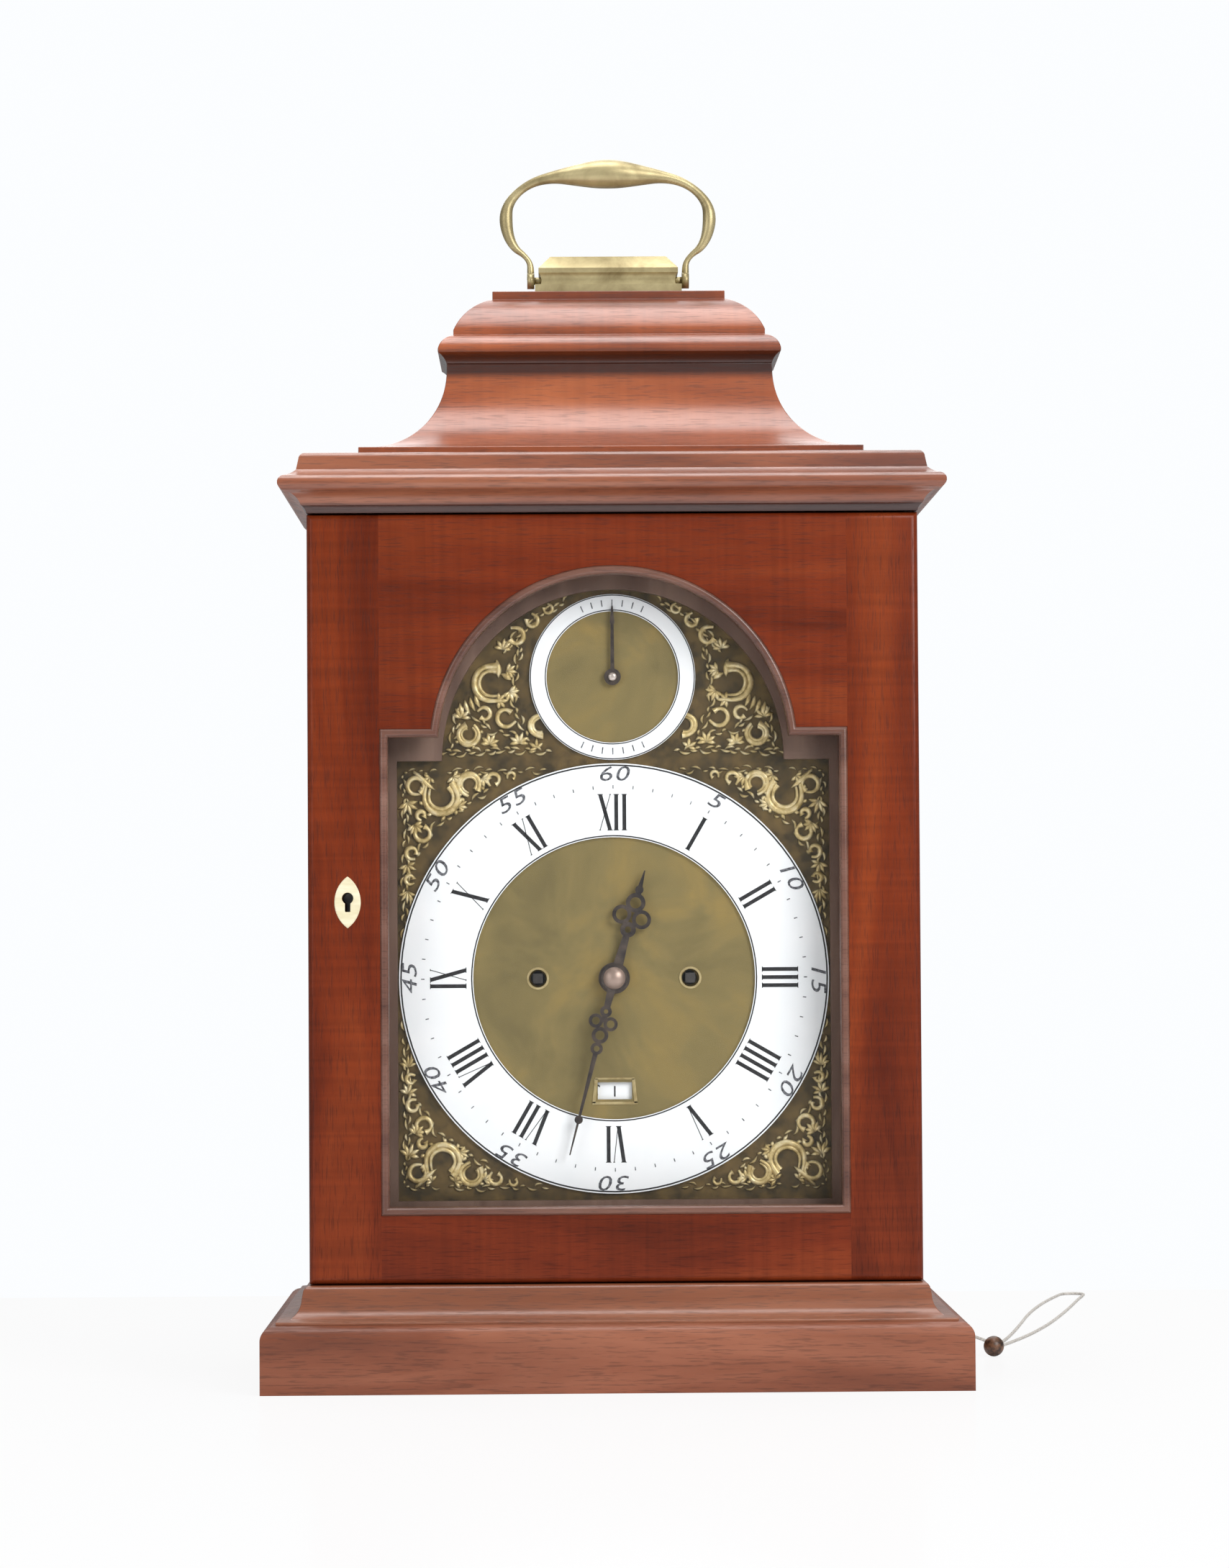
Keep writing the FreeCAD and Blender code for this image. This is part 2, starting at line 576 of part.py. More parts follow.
stile_x = half_open + D.bead_w
rail_z = (open_low - D.bead_w, open_high + D.bead_w)
door_y = (-half_d - 1, door_back + 1)
tall = (door_low - 1, door_high + 1)
pin_bores = [rod("bore_%s" % tag, "Z", front_pin, D.pin_r + D.run_gap, span)
             for tag, span in (("low", (door_low - 1, door_low + D.pin_in + 0.5)),
                               ("high", (door_high - D.pin_in - 0.5, door_high + 1)))]
plate_r = (D.plate_h * D.plate_h / 4 + D.plate_w * D.plate_w / 4) / D.plate_w
lozenge = [(key_x, key_z + D.plate_h / 2, plate_r), (key_x, key_z - D.plate_h / 2, plate_r)]
eye_z = key_z + (D.key_drop - D.keyhole_r) / 2
slot_half = D.key_slot / 2
neck = root(D.keyhole_r * D.keyhole_r - slot_half * slot_half)
keyhole = [(key_x - slot_half, eye_z - D.key_drop), (key_x + slot_half, eye_z - D.key_drop),
           (key_x + slot_half, eye_z - neck), (key_x, eye_z + D.keyhole_r, D.keyhole_r),
           (key_x - slot_half, eye_z - neck, D.keyhole_r)]
plate_y = (-half_d - D.plate_proud, -half_d + D.plate_let)
plate_seat = extruded("plate_seat", "front", plate_y, lozenge)
key_cut = extruded("key_cut", "front", (-half_d - 2, bolt_y[0] - D.bolt_gap), keyhole)
lock_y = (door_back - D.lock_let, door_back + D.lock_proud)
lock_box = block("lock_box", lock_x, lock_y, lock_z)
node("door_stile_left", carved("stile_left", shared("stile_left_blank", blank, block(
    "stile_left_box", (-half_w - 1, -stile_x), door_y, tall)), plate_seat, key_cut, lock_box))
node("door_stile_right", carved("stile_right", shared("stile_right_blank", blank, block(
    "stile_right_box", (stile_x, half_w + 1), door_y, tall)), *pin_bores))
node("door_rail_bottom", shared("rail_bottom", blank, block(
    "rail_bottom_box", (-stile_x, stile_x), door_y, (tall[0], rail_z[0]))))
arch_cut = extruded("arch_cut", "front", door_y, door_opening(D.bead_w))
node("door_rail_top", carved("rail_top", shared("rail_top_blank", blank, block(
    "rail_top_box", (-stile_x, stile_x), door_y, (rail_z[1], tall[1]))), arch_cut))

# Bead round the opening, and the glass bedded against its back.
bead_y = (-half_d - D.bead_proud, -half_d + D.bead_deep)
bead = extruded("bead", "front", bead_y, door_opening(D.bead_w), door_opening(dim(0)))
doc.recompute()
eased(bead, "PartDesign::Chamfer", bead_y[0], Size=D.bead_chamfer)
node("door_bead", bead)
node("door_glass", extruded("glass", "front", (bead_y[1], bead_y[1] + D.glass_t),
                            door_opening(D.bead_w - 0.2)))

# Lock: a bone escutcheon let in at the front, the lock let in at the back, and its bolt, which
# slides into the mortise in the left side.
node("keyhole_escutcheon", carved("escutcheon", plate_seat, key_cut))
bolt_slot = block("bolt_slot", (lock_x[0] - 1, lock_x[1] - 1.6),
                  (bolt_y[0] - D.bolt_gap, bolt_y[1] + D.bolt_gap),
                  (bolt_z[0] - D.bolt_gap, bolt_z[1] + D.bolt_gap))
node("lock_case", carved("lock", lock_box, bolt_slot, key_cut))
node("lock_bolt", block("bolt", (lock_x[0] + 0.1, lock_x[1] - 2.2), bolt_y, bolt_z))

# ---- Back door -------------------------------------------------------------------------------
back_x = inner_x - D.gap
back_y = (back_inner, half_d)
back_turn = root(D.back_pivot_in * D.back_pivot_in - D.back_pivot_deep * D.back_pivot_deep)
back_blank = extruded("back_blank", "top", (door_low, door_high),
                      [(back_x, back_inner), (back_x, half_d), (back_pin[0] - back_turn, half_d),
                       (-back_x, back_pin[1], D.back_pivot_in), (-back_x, back_inner)])
back_half = D.back_open_w / 2
back_low, back_high = door_low + D.back_open_bottom, door_high - D.back_open_spring
back_glass_y = (back_inner + D.back_t / 2 - D.glass_t, back_inner + D.back_t / 2)
back_cuts = [extruded("back_window", "front", (back_inner - 1, half_d + 1),
                      domed(0, back_half, back_low, back_high)),
             extruded("back_rebate_cut", "front", (back_inner - 1, back_glass_y[1]),
                      domed(0, back_half + D.back_rebate, back_low - D.back_rebate,
                            back_high)),
             rod("catch_bore", "Y", (catch_x, catch_z), D.catch_r + D.run_gap,
                 (back_inner - 1, half_d + 1))]
for tag, span in (("low", (door_low - 1, door_low + D.pin_in + 0.5)),
                  ("high", (door_high - D.pin_in - 0.5, door_high + 1))):
    back_cuts.append(rod("back_bore_" + tag, "Z", back_pin, D.pin_r + D.run_gap, span))
node("back_door_frame", carved("back_frame", back_blank, *back_cuts))
node("back_door_glass", extruded("back_pane", "front", back_glass_y,
                                 domed(0, back_half + D.back_rebate - 0.2,
                                       back_low - D.back_rebate + 0.2,
                                       back_high)))
catch_out = half_d + D.gap
node("back_catch", joined(
    "catch", rod("catch_spindle", "Y", (catch_x, catch_z), D.catch_r, (catch_y[0], catch_out)),
    rod("catch_knob", "Y", (catch_x, catch_z), D.catch_knob_r,
        (catch_out, catch_out + D.catch_knob_t)),
    block("catch_grip", (catch_x - 1.5, catch_x + 1.5),
          (catch_out, catch_out + D.catch_knob_t + 7),
          (catch_z - D.catch_knob_r + 1, catch_z + D.catch_knob_r - 1)),
    block("catch_bar", (catch_x - D.catch_arm_w / 2, catch_x + D.catch_arm_w / 2), catch_y,
          (catch_z - D.catch_arm_w / 2, catch_z + D.catch_arm))))

# ---- Carrying handle -------------------------------------------------------------------------
block_x = D.block_w / 2
block_profile = [(dim(0), platform_top), (dim(0), platform_top + 3.4),
                 (dim(-2.5), platform_top + 3.8),
                 (dim(-1.5), platform_top + D.block_h - 7.4, dim(-4.5)),
                 (dim(-1.5), platform_top + D.block_h - 5.4),
                 (dim(-6.5), platform_top + D.block_h)]
pivot_z = platform_top + D.handle_pivot
trunnion_bores = [rod("ear_bore_%d" % (count + 1), "X", (0, pivot_z), D.trunnion_r + D.run_gap,
                      span)
                  for count, span in enumerate(((-block_x - 1, -block_x + D.trunnion_in + 3),
                                                (block_x - D.trunnion_in - 3, block_x + 1)))]
node("handle_block", carved("block_bored", mitred("block", block_x, D.block_d / 2, block_profile),
                            *trunnion_bores))


def bail():
    """The bail: a round bar bowed out at both sides and swelling to a knop in the middle."""
    radius, foot = D.bail_r.number, pivot_z.number
    ear_x = block_x.number + D.gap.number + D.ear_t.number / 2
    outer = D.handle_w.number / 2
    bar_z = (platform_top + D.handle_top - D.knop_r).number
    rise = bar_z - foot
    corners = [V(-ear_x, 0, foot), V(-ear_x, 0, foot + 0.16 * rise),
               V(-outer + 4.2, 0, foot + 0.3 * rise), V(-outer - 0.6, 0, foot + 0.55 * rise),
               V(-outer + 3, 0, foot + 0.8 * rise), V(-outer + 13, 0, bar_z - 1.4),
               V(-D.knop_half.number, 0, bar_z), V(1, 0, bar_z)]
    path, _ = rounded_path(corners)
    ring = Part.Wire(Part.makeCircle(radius, corners[0], V(0, 0, 1)))
    side = path.makePipeShell([ring], True, False)
    half = side.fuse(Part.makeCylinder(D.ear_r.number, D.ear_t.number,
                                       V(-ear_x - D.ear_t.number / 2, 0, foot), V(1, 0, 0)))
    reach = D.ear_t.number + D.gap.number + D.trunnion_in.number
    half = half.fuse(Part.makeCylinder(D.trunnion_r.number, reach,
                                       V(-ear_x - D.ear_t.number / 2, 0, foot), V(1, 0, 0)))
    long, fat = D.knop_half.number, D.knop_r.number
    swell = Part.Arc(V(-long, 0, radius), V(0, 0, fat), V(long, 0, radius)).toShape()
    rim = Part.Wire([swell, Part.makeLine(V(long, 0, radius), V(long, 0, 0)),
                     Part.makeLine(V(long, 0, 0), V(-long, 0, 0)),
                     Part.makeLine(V(-long, 0, 0), V(-long, 0, radius))])
    knop = Part.Face(rim).revolve(V(), V(1, 0, 0), 360)
    knop.translate(V(0, 0, bar_z))
    return half.fuse([half.mirror(V(), V(1, 0, 0)), knop]).removeSplitter()


node("carrying_handle", computed("bail", bail()))

# ---- Movement layout -------------------------------------------------------------------------
# Each arbor lies along Y. The first of a train is fixed, and each next one lies one centre
# distance away, so the wheels and pinions mesh.
great_reach = D.great_m * (D.great_teeth + D.great_leaves) / 2
strike_reach = D.great_m * (D.strike_great_teeth + D.great_leaves) / 2


def toward(place_xz, reach, turn):
    return (place_xz[0] + reach * cosine(turn), place_xz[1] + reach * sine(turn))


centre_at = (dim(0), centre_z)
going_at = (great_reach, centre_z)
striking_at = (-great_reach, centre_z)
third_at = toward(centre_at, D.centre_m * (D.centre_teeth + D.third_leaves) / 2, D.third_turn)
escape_at = toward(third_at, D.third_m * (D.third_teeth + D.escape_leaves) / 2, D.escape_turn)
pin_at = toward(striking_at, strike_reach, D.pin_turn)
gather_at = toward(pin_at, D.pin_m * (D.pin_teeth + D.gather_leaves) / 2, D.gather_turn)
fly_at = toward(gather_at, D.gather_m * (D.gather_teeth + D.fly_leaves) / 2, D.fly_turn)
barrel_z = centre_z - D.barrel_drop
going_barrel_at = (D.barrel_x, barrel_z)
strike_barrel_at = (-D.barrel_x, barrel_z)
pallet_at = (dim(0), centre_z + D.pallet_z)
hammer_at = (D.bell_x - D.bell_r - D.hammer_x, centre_z + D.hammer_z)
motion_reach = D.motion_m * (D.cannon_teeth + D.minute_teeth) / 2
motion_at = (dim(0), centre_z - motion_reach)
hour_m = 2 * motion_reach / (D.motion_leaves + D.hour_teeth)
lever_at = (D.lever_x, centre_z - D.lever_z)

# ---- Dial ------------------------------------------------------------------------------------
date_half = D.date_w / 2
date_z = centre_z - D.date_z
date_window = [(-date_half, date_z - D.date_h / 2), (date_half, date_z - D.date_h / 2),
               (date_half, date_z + D.date_h / 2), (-date_half, date_z + D.date_h / 2)]
dial_sheet = extruded("dial_sheet", "front", (dial_front, dial_back),
                      arched(half_dial, dial_low, dial_high, dial_arch,
                             D.dial_arch_r),
                      ("circle", 0, centre_z, D.pipe_r + 0.6), date_window,
                      ("circle", going_at[0], centre_z, D.wind_hole),
                      ("circle", striking_at[0], centre_z, D.wind_hole),
                      ("circle", 0, strike_z, D.arbor_r + D.run_gap))
foot_places = [(side * (D.plates_w / 2 - D.foot_x), z) for side in (-1, 1)
               for z in (centre_z - D.foot_low, centre_z + D.foot_high)]
feet = [rod("dial_foot_%d" % (count + 1), "Y", at, D.foot_r, (dial_back, inside_front + 1))
        for count, at in enumerate(foot_places)]
# Four rollers on the back of the dial carry the date ring at its rim.
roller_r = dim(1.5)
rollers = [rod("roller_%d" % turn, "Y",
               toward(centre_at, D.date_out + roller_r + D.run_gap, dim(turn)), roller_r,
               (dial_back, dial_back + D.gap + D.date_t + 0.4))
           for turn in (45, 135, 225, 315)]
node("dial_plate", joined("dial_with_feet", dial_sheet, *feet, *rollers))


def ring_plate(name, z, outer, inner, thick):
    return extruded(name, "front", (dial_front - thick, dial_front),
                    ("circle", 0, z, outer), ("circle", 0, z, inner))


hours_in = D.ring_r - D.ring_in
node("chapter_ring", ring_plate("hours_ring", centre_z, D.ring_r, hours_in, D.ring_t))
node("strike_ring", ring_plate("silent_ring", strike_z, strike_out, strike_out - D.strike_in,
                               D.strike_t))

# Cast spandrels: four fill the corners outside the chapter ring, two the arch beside the
# strike ring. Each is one pierced casting.
clear = D.spandrel_gap
corner_x = half_dial - 2.5
corner_top, corner_foot = dial_high - 3.5, dial_low + 4.6
corner_r = D.ring_r + clear
corner_in = half_dial - 41.5
corner_high = centre_z + root(corner_r * corner_r - corner_in * corner_in)
corner_low = centre_z + root(corner_r * corner_r - corner_x * corner_x)


def corner_piece(name, side, up):
    """One corner casting, mirrored left to right by side and top to bottom by up."""
    edge = corner_top if up > 0 else corner_foot

    def beside(x, z, *arc):
        return (side * x, centre_z + up * (z - centre_z), *arc)
    outline = [(side * corner_in, edge), beside(corner_in, corner_high),
               beside(corner_x, corner_low, -side * up * corner_r), (side * corner_x, edge)]
    holes = [("circle", side * (corner_in + 15), edge - up * 9.5, 4.5),
             ("circle", side * (corner_x - 10), edge - up * 12, 5),
             ("circle", side * (corner_x - 8), edge - up * 29, 3.4)]
    return extruded(name, "front", (dial_front - D.spandrel_t, dial_front), outline, *holes)


node("corner_spandrels", group("corner_castings", *[
    corner_piece("corner_%s_%s" % (up_tag, side_tag), side, up)
    for up_tag, up in (("top", 1), ("low", -1)) for side_tag, side in (("left", -1), ("right", 1))]))
arch_in = dim(24)
arch_x = D.dial_arch_r - 6
arch_foot = dial_high + 1.5
halo_r = strike_out + clear
crown_r = D.dial_arch_r - D.mask_over - 1


def arch_piece(name, side):
    def at(x, z, arc=None):
        return (side * x, z) if arc is None else (side * x, z, side * arc)
    low = strike_z - root(halo_r * halo_r - arch_in * arch_in)
    high = strike_z + root(halo_r * halo_r - arch_in * arch_in)
    crown = dial_arch + root(crown_r * crown_r - arch_in * arch_in)
    haunch = dial_arch + root(crown_r * crown_r - arch_x * arch_x)
    outline = [at(arch_in, arch_foot), at(arch_x, arch_foot), at(arch_x, haunch),
               at(arch_in, crown, crown_r), at(arch_in, high),
               at(halo_r, strike_z, -halo_r), at(arch_in, low, -halo_r)]
    holes = [("circle", *at(arch_in + 21, strike_z - 12)[:2], 5),
             ("circle", *at(arch_in + 19, strike_z + 6)[:2], 4)]
    return extruded(name, "front", (dial_front - D.spandrel_t, dial_front), outline, *holes)


node("arch_spandrels", group("arch_castings", arch_piece("arch_left", -1),
                             arch_piece("arch_right", 1)))

# ---- Movement frame --------------------------------------------------------------------------
plates_x = (-D.plates_w / 2, D.plates_w / 2)
front_plate_y = (plate_front, inside_front)
back_plate_y = (inside_back, back_face)


def drilled(name, y, holes):
    """Cylinders that pass through a plate, from (tag, place, radius) triples."""
    return [rod("%s_%s" % (name, tag), "Y", at, radius, (y[0] - 1, y[1] + 1))
            for tag, at, radius in holes]


small = D.pivot_r + D.run_gap
pivots = [("third", third_at, small), ("escape", escape_at, small), ("pin", pin_at, small),
          ("gather", gather_at, small), ("fly", fly_at, small),
          ("hammer", hammer_at, small)]
front_holes = pivots + [("centre", centre_at, D.centre_arbor + D.run_gap),
                        ("going", going_at, D.fusee_arbor + D.run_gap),
                        ("strike", striking_at, D.fusee_arbor + D.run_gap),
                        ("pallet", pallet_at, small),
                        ("barrel_a", going_barrel_at, D.arbor_r + D.run_gap),
                        ("barrel_b", strike_barrel_at, D.arbor_r + D.run_gap)]
front_holes += [("foot_%d" % (count + 1), at, D.foot_r) for count, at in enumerate(foot_places)]
back_holes = pivots[:-1] + [("centre", centre_at, small), ("going", going_at, small * 2),
                            ("strike", striking_at, small * 2), ("pallet", pallet_at, D.rod_r * 2),
                            ("barrel_a", going_barrel_at, D.arbor_r + D.run_gap),
                            ("barrel_b", strike_barrel_at, D.arbor_r + D.run_gap),
                            ("hammer", hammer_at, D.arbor_r + D.run_gap)]
pillar_x = D.plates_w / 2 - D.pillar_x
pillar_places = [(side * pillar_x, z) for side in (-1, 1)
                 for z in (plates_z[0] + D.pillar_low, plates_z[1] - D.pillar_high)]
stud_r = dim(1)
studs = [rod("minute_stud", "Y", motion_at, stud_r, (plate_front - 6.6, plate_front)),
         rod("lever_stud", "Y", lever_at, stud_r * 1.5, (plate_front - 3.2, plate_front))]
front_board = block("front_board", plates_x, front_plate_y, plates_z)
node("movement_front_plate", joined(
    "front_plate", carved("front_drilled", front_board, *drilled("front", front_plate_y,
                                                                 front_holes)), *studs))
pillars = [rod("pillar_%d" % (count + 1), "Y", at, D.pillar_r, (inside_front, inside_back))
           for count, at in enumerate(pillar_places)]
seat_bolts = []
for count, side in enumerate((-1, 1)):
    at = (side * pillar_x, (inside_front + inside_back) / 2)
    shank = rod("bolt_shank_%d" % (count + 1), "Z", at, D.bolt_r,
                (seat_z - D.seat_t, plates_z[0] + D.pillar_low))
    head = rod("bolt_cap_%d" % (count + 1), "Z", at, D.bolt_head,
               (seat_z - D.seat_t - D.bolt_head_t, seat_z - D.seat_t))
    seat_bolts.append(joined("seat_bolt_%d" % (count + 1), shank, head))
back_board = block("back_board", plates_x, back_plate_y, plates_z)
back_frame = carved("back_drilled", joined("back_and_pillars", carved(
    "back_plate_cut", back_board, *drilled("back", back_plate_y, back_holes)), *pillars),
    *seat_bolts)
node("movement_back_plate", back_frame)
node("seat_bolts", group("seat_bolt_pair", *seat_bolts))
node("seat_board", carved("seat_bored", seat, *seat_bolts))

# ---- Wheels and pinions ----------------------------------------------------------------------
TOOTH = (0.40, 0.85, 1.25)    # wheel: thickness as a share of the pitch, addendum, dedendum
LEAF = (0.30, 0.60, 1.25)     # pinion: the same, thinner and shorter so a wheel's tooth clears


def gear_face(teeth, module, form, at, faces, gap_there, y):
    """A toothed outline in the plane y, one tooth or one gap centred on the place it faces."""
    thick, above, below = form
    pitch_r = module * teeth / 2
    tip_r, root_r = pitch_r + above * module, pitch_r - below * module
    step = 2 * math.pi / teeth
    aim = math.atan2(faces[1] - at[1], faces[0] - at[0]) + (step / 2 if gap_there else 0)
    shape = ((root_r, -0.62), (pitch_r, -0.5), (tip_r, -0.2), (tip_r, 0.2), (pitch_r, 0.5),
             (root_r, 0.62))
    points = []
    for tooth in range(teeth):
        for radius, share in shape:
            angle = aim + tooth * step + share * thick * step
            points.append(V(at[0] + radius * math.cos(angle), y, at[1] + radius * math.sin(angle)))
    return Part.makePolygon(points + points[:1])


def wheel(at, y, thick, teeth, module, faces, gap_there=False, spokes=5, form=TOOTH, hub=3.2):
    """A brass wheel with crossings: a toothed rim, spokes and a hub."""
    outline = Part.Face(gear_face(teeth, module, form, at, faces, gap_there, y))
    rim_r = module * teeth / 2 - 3.2 * module - 0.6
    disc = outline.extrude(V(0, thick, 0))
    if spokes and rim_r > hub + 2:
        bar = 1.1 + rim_r / 24
        ring = Part.makeCylinder(rim_r, thick, V(at[0], y, at[1]), V(0, 1, 0))
        ring = ring.cut(Part.makeCylinder(hub, thick, V(at[0], y, at[1]), V(0, 1, 0)))
        for count in range(spokes):
            arm = Part.makeBox(rim_r + 1, thick, bar, V(at[0], y, at[1] - bar / 2))
            arm.rotate(V(at[0], 0, at[1]), V(0, 1, 0), 360 / spokes * count + 18)
            ring = ring.cut(arm)
        disc = disc.cut(ring)
    return disc


def pinion(at, y, long, leaves, module, faces, gap_there=True):
    return Part.Face(gear_face(leaves, module, LEAF, at, faces, gap_there, y)).extrude(
        V(0, long, 0))


def shaft(at, radius, span):
    return Part.makeCylinder(radius, span[1] - span[0], V(at[0], span[0], at[1]), V(0, 1, 0))


def xz(place_xz):
    return (place_xz[0].number, place_xz[1].number)


def numbers(*sizes):
    return [size.number for size in sizes]


y_front, y_back, y_rear = numbers(inside_front, inside_back, back_face)
y_out = plate_front.number
wheel_t, great_t, arbor_r, pivot_r = numbers(D.wheel_t, D.great_t, D.arbor_r, D.pivot_r)
end_gap = D.gap.number
great_y = y_front + 3
cone_y = (great_y + great_t + 1, great_y + great_t + 1 + D.fusee_l.number)
centre_y = cone_y[1] + 5
third_y = centre_y + 6
escape_y = third_y + 8
pin_y = cone_y[1] - 4
gather_y = great_y + 16


def slim(leaves, module):
    """The radius of an arbor that is no thicker than the root of its pinion."""
    return min(arbor_r, module.number * (leaves.number / 2 - LEAF[2]))


def arbor(at, radius):
    """An arbor between the plates, with a thinner pivot run into each of them."""
    body = shaft(at, radius, (y_front + end_gap, y_back - end_gap))
    return body.fuse(shaft(at, pivot_r, (y_out + 0.4, y_rear - 0.4)))


def fused(first, *others):
    return first.fuse(list(others)).removeSplitter()


def fusee(at, teeth, faces):
    """A grooved cone that winds from the front, with the great wheel at its wide end."""
    wide, narrow, turns = numbers(D.fusee_r, D.fusee_small, D.fusee_turns)
    depth = D.groove.number
    points = [V(0, cone_y[0], 0), V(wide, cone_y[0], 0)]
    pitch = (cone_y[1] - cone_y[0]) / turns
    for count in range(int(turns)):
        share = (count + 0.5) / turns
        radius = wide + (narrow - wide) * share ** 0.8
        y = cone_y[0] + count * pitch
        points += [V(radius, y + 0.2 * pitch, 0), V(radius - depth, y + 0.5 * pitch, 0),
                   V(radius, y + 0.8 * pitch, 0)]
    points += [V(narrow, cone_y[1], 0), V(0, cone_y[1], 0)]
    cone = Part.Face(Part.makePolygon(points + points[:1])).revolve(V(), V(0, 1, 0), 360)
    cone.translate(V(at[0], 0, at[1]))
    great = wheel(at, great_y, great_t, int(teeth.number), D.great_m.number, faces, spokes=0)
    square = D.square.number
    key = Part.makeBox(square, 12.5, square,
                       V(at[0] - square / 2, y_out - 12.5, at[1] - square / 2))
    return fused(cone, great, shaft(at, D.fusee_arbor.number, (y_out, great_y)), key,
                 shaft(at, arbor_r * 2, (great_y, y_back - end_gap)),
                 shaft(at, pivot_r * 2, (y_back - 1, y_rear - 0.4)))


node("going_fusee", computed("fusee_a", fusee(xz(going_at), D.great_teeth, xz(centre_at))))
node("strike_fusee", computed("fusee_b", fusee(xz(striking_at), D.strike_great_teeth, xz(pin_at))))


def barrel(name, at):
    """A spring barrel with its caps, on an arbor that runs in both plates."""
    drum = rod(name + "_drum", "Y", at, D.barrel_r, (inside_front + 6, inside_front + 6 + D.barrel_l))
    rim = [rod("%s_rim_%d" % (name, count), "Y", at, D.barrel_r + 0.8, span)
           for count, span in enumerate(((inside_front + 6, inside_front + 7.5),
                                         (inside_front + 4.5 + D.barrel_l,
                                          inside_front + 6 + D.barrel_l)))]
    axle = rod(name + "_axle", "Y", at, D.arbor_r, (plate_front + 0.4, back_face - 0.4))
    boss = rod(name + "_boss", "Y", at, D.arbor_r * 2, (inside_front + D.gap, inside_back - D.gap))
    return joined(name, drum, *rim, axle, boss)


node("going_barrel", barrel("barrel_a", going_barrel_at))
node("strike_barrel", barrel("barrel_b", strike_barrel_at))

# Centre arbor: pinion driven by the going fusee, centre wheel, and the cannon for the hand.
c_at, m_at = xz(centre_at), xz(motion_at)
motion_m, motion_y = D.motion_m.number, y_out - 3.4
hour_y = motion_y - 2.2
hand_end = (dial_front - D.minute_y - D.hand_t).number
node("centre_arbor", computed("centre_piece", fused(
    shaft(c_at, D.centre_arbor.number, (hand_end + 1, great_y - 1)),
    shaft(c_at, arbor_r, (great_y - 1, y_back - end_gap)),
    shaft(c_at, pivot_r, (y_back - 1, y_rear - 0.4)),
    pinion(c_at, great_y - 1, great_t + 2, int(D.great_leaves.number), D.great_m.number,
           xz(going_at)),
    wheel(c_at, centre_y, wheel_t, int(D.centre_teeth.number), D.centre_m.number, xz(third_at)),
    wheel(c_at, motion_y, 1.5, int(D.cannon_teeth.number), motion_m, m_at, spokes=0),
    shaft(c_at, D.cannon_r.number, (hand_end, y_out - 0.2)))))
node("third_wheel", computed("third_piece", fused(
    arbor(xz(third_at), slim(D.third_leaves, D.centre_m)),
    pinion(xz(third_at), centre_y - 1, wheel_t + 2, int(D.third_leaves.number),
           D.centre_m.number, c_at),
    wheel(xz(third_at), third_y, wheel_t, int(D.third_teeth.number), D.third_m.number,
          xz(escape_at)))))


def escape_wheel():
    """A recoil escape wheel: raked teeth on a rim, four spokes and the pinion."""
    at, tip, teeth = xz(escape_at), D.escape_r.number, int(D.escape_teeth.number)
    points = []
    for count in range(teeth):
        angle = 2 * math.pi * count / teeth
        for radius, lag in ((tip - 2.4, 0.0), (tip, 0.03), (tip, 0.05), (tip - 2.4, 0.17)):
            points.append(V(at[0] + radius * math.cos(angle + lag), escape_y,
                            at[1] + radius * math.sin(angle + lag)))
    rim = Part.Face(Part.makePolygon(points + points[:1])).extrude(V(0, wheel_t, 0))
    well = Part.makeCylinder(tip - 4.4, wheel_t, V(at[0], escape_y, at[1]), V(0, 1, 0))
    well = well.cut(Part.makeCylinder(2.4, wheel_t, V(at[0], escape_y, at[1]), V(0, 1, 0)))
    for turn in (0, 90):
        bar = Part.makeBox(2 * tip, wheel_t, 1.4, V(at[0] - tip, escape_y, at[1] - 0.7))
        bar.rotate(V(at[0], 0, at[1]), V(0, 1, 0), turn)
        well = well.cut(bar)
    return fused(arbor(at, slim(D.escape_leaves, D.third_m)), rim.cut(well),
                 pinion(at, third_y - 1, wheel_t + 2, int(D.escape_leaves.number),
                        D.third_m.number, xz(third_at)))


node("escape_wheel", computed("escape_piece", escape_wheel()))

# Motion work: the minute wheel turns back from the cannon, and its pinion drives the hour wheel.
minute_work = fused(
    wheel(m_at, motion_y, 1.5, int(D.minute_teeth.number), motion_m, c_at, True, 0),
    pinion(m_at, hour_y, 2.3, int(D.motion_leaves.number), hour_m.number, c_at, False))
stud_bore = shaft(m_at, stud_r.number + D.run_gap.number, (y_out - 9, y_out))
# The stud is thinner than the pinion's root, and the pinion turns on it.
node("minute_wheel", computed("minute_piece", minute_work.cut(stud_bore)))
pipe = shaft(c_at, D.pipe_r.number, ((dial_front - D.hour_y - D.hand_t).number, hour_y + 1.6))
hour_piece = wheel(c_at, hour_y + 0.3, 1.3, int(D.hour_teeth.number), hour_m.number, m_at, True,
                   4, hub=5.4).fuse(pipe)
node("hour_wheel", computed("hour_piece", hour_piece.cut(
    shaft(c_at, D.cannon_r.number + 2 * D.run_gap.number, (hand_end - 1, y_out))).removeSplitter()))


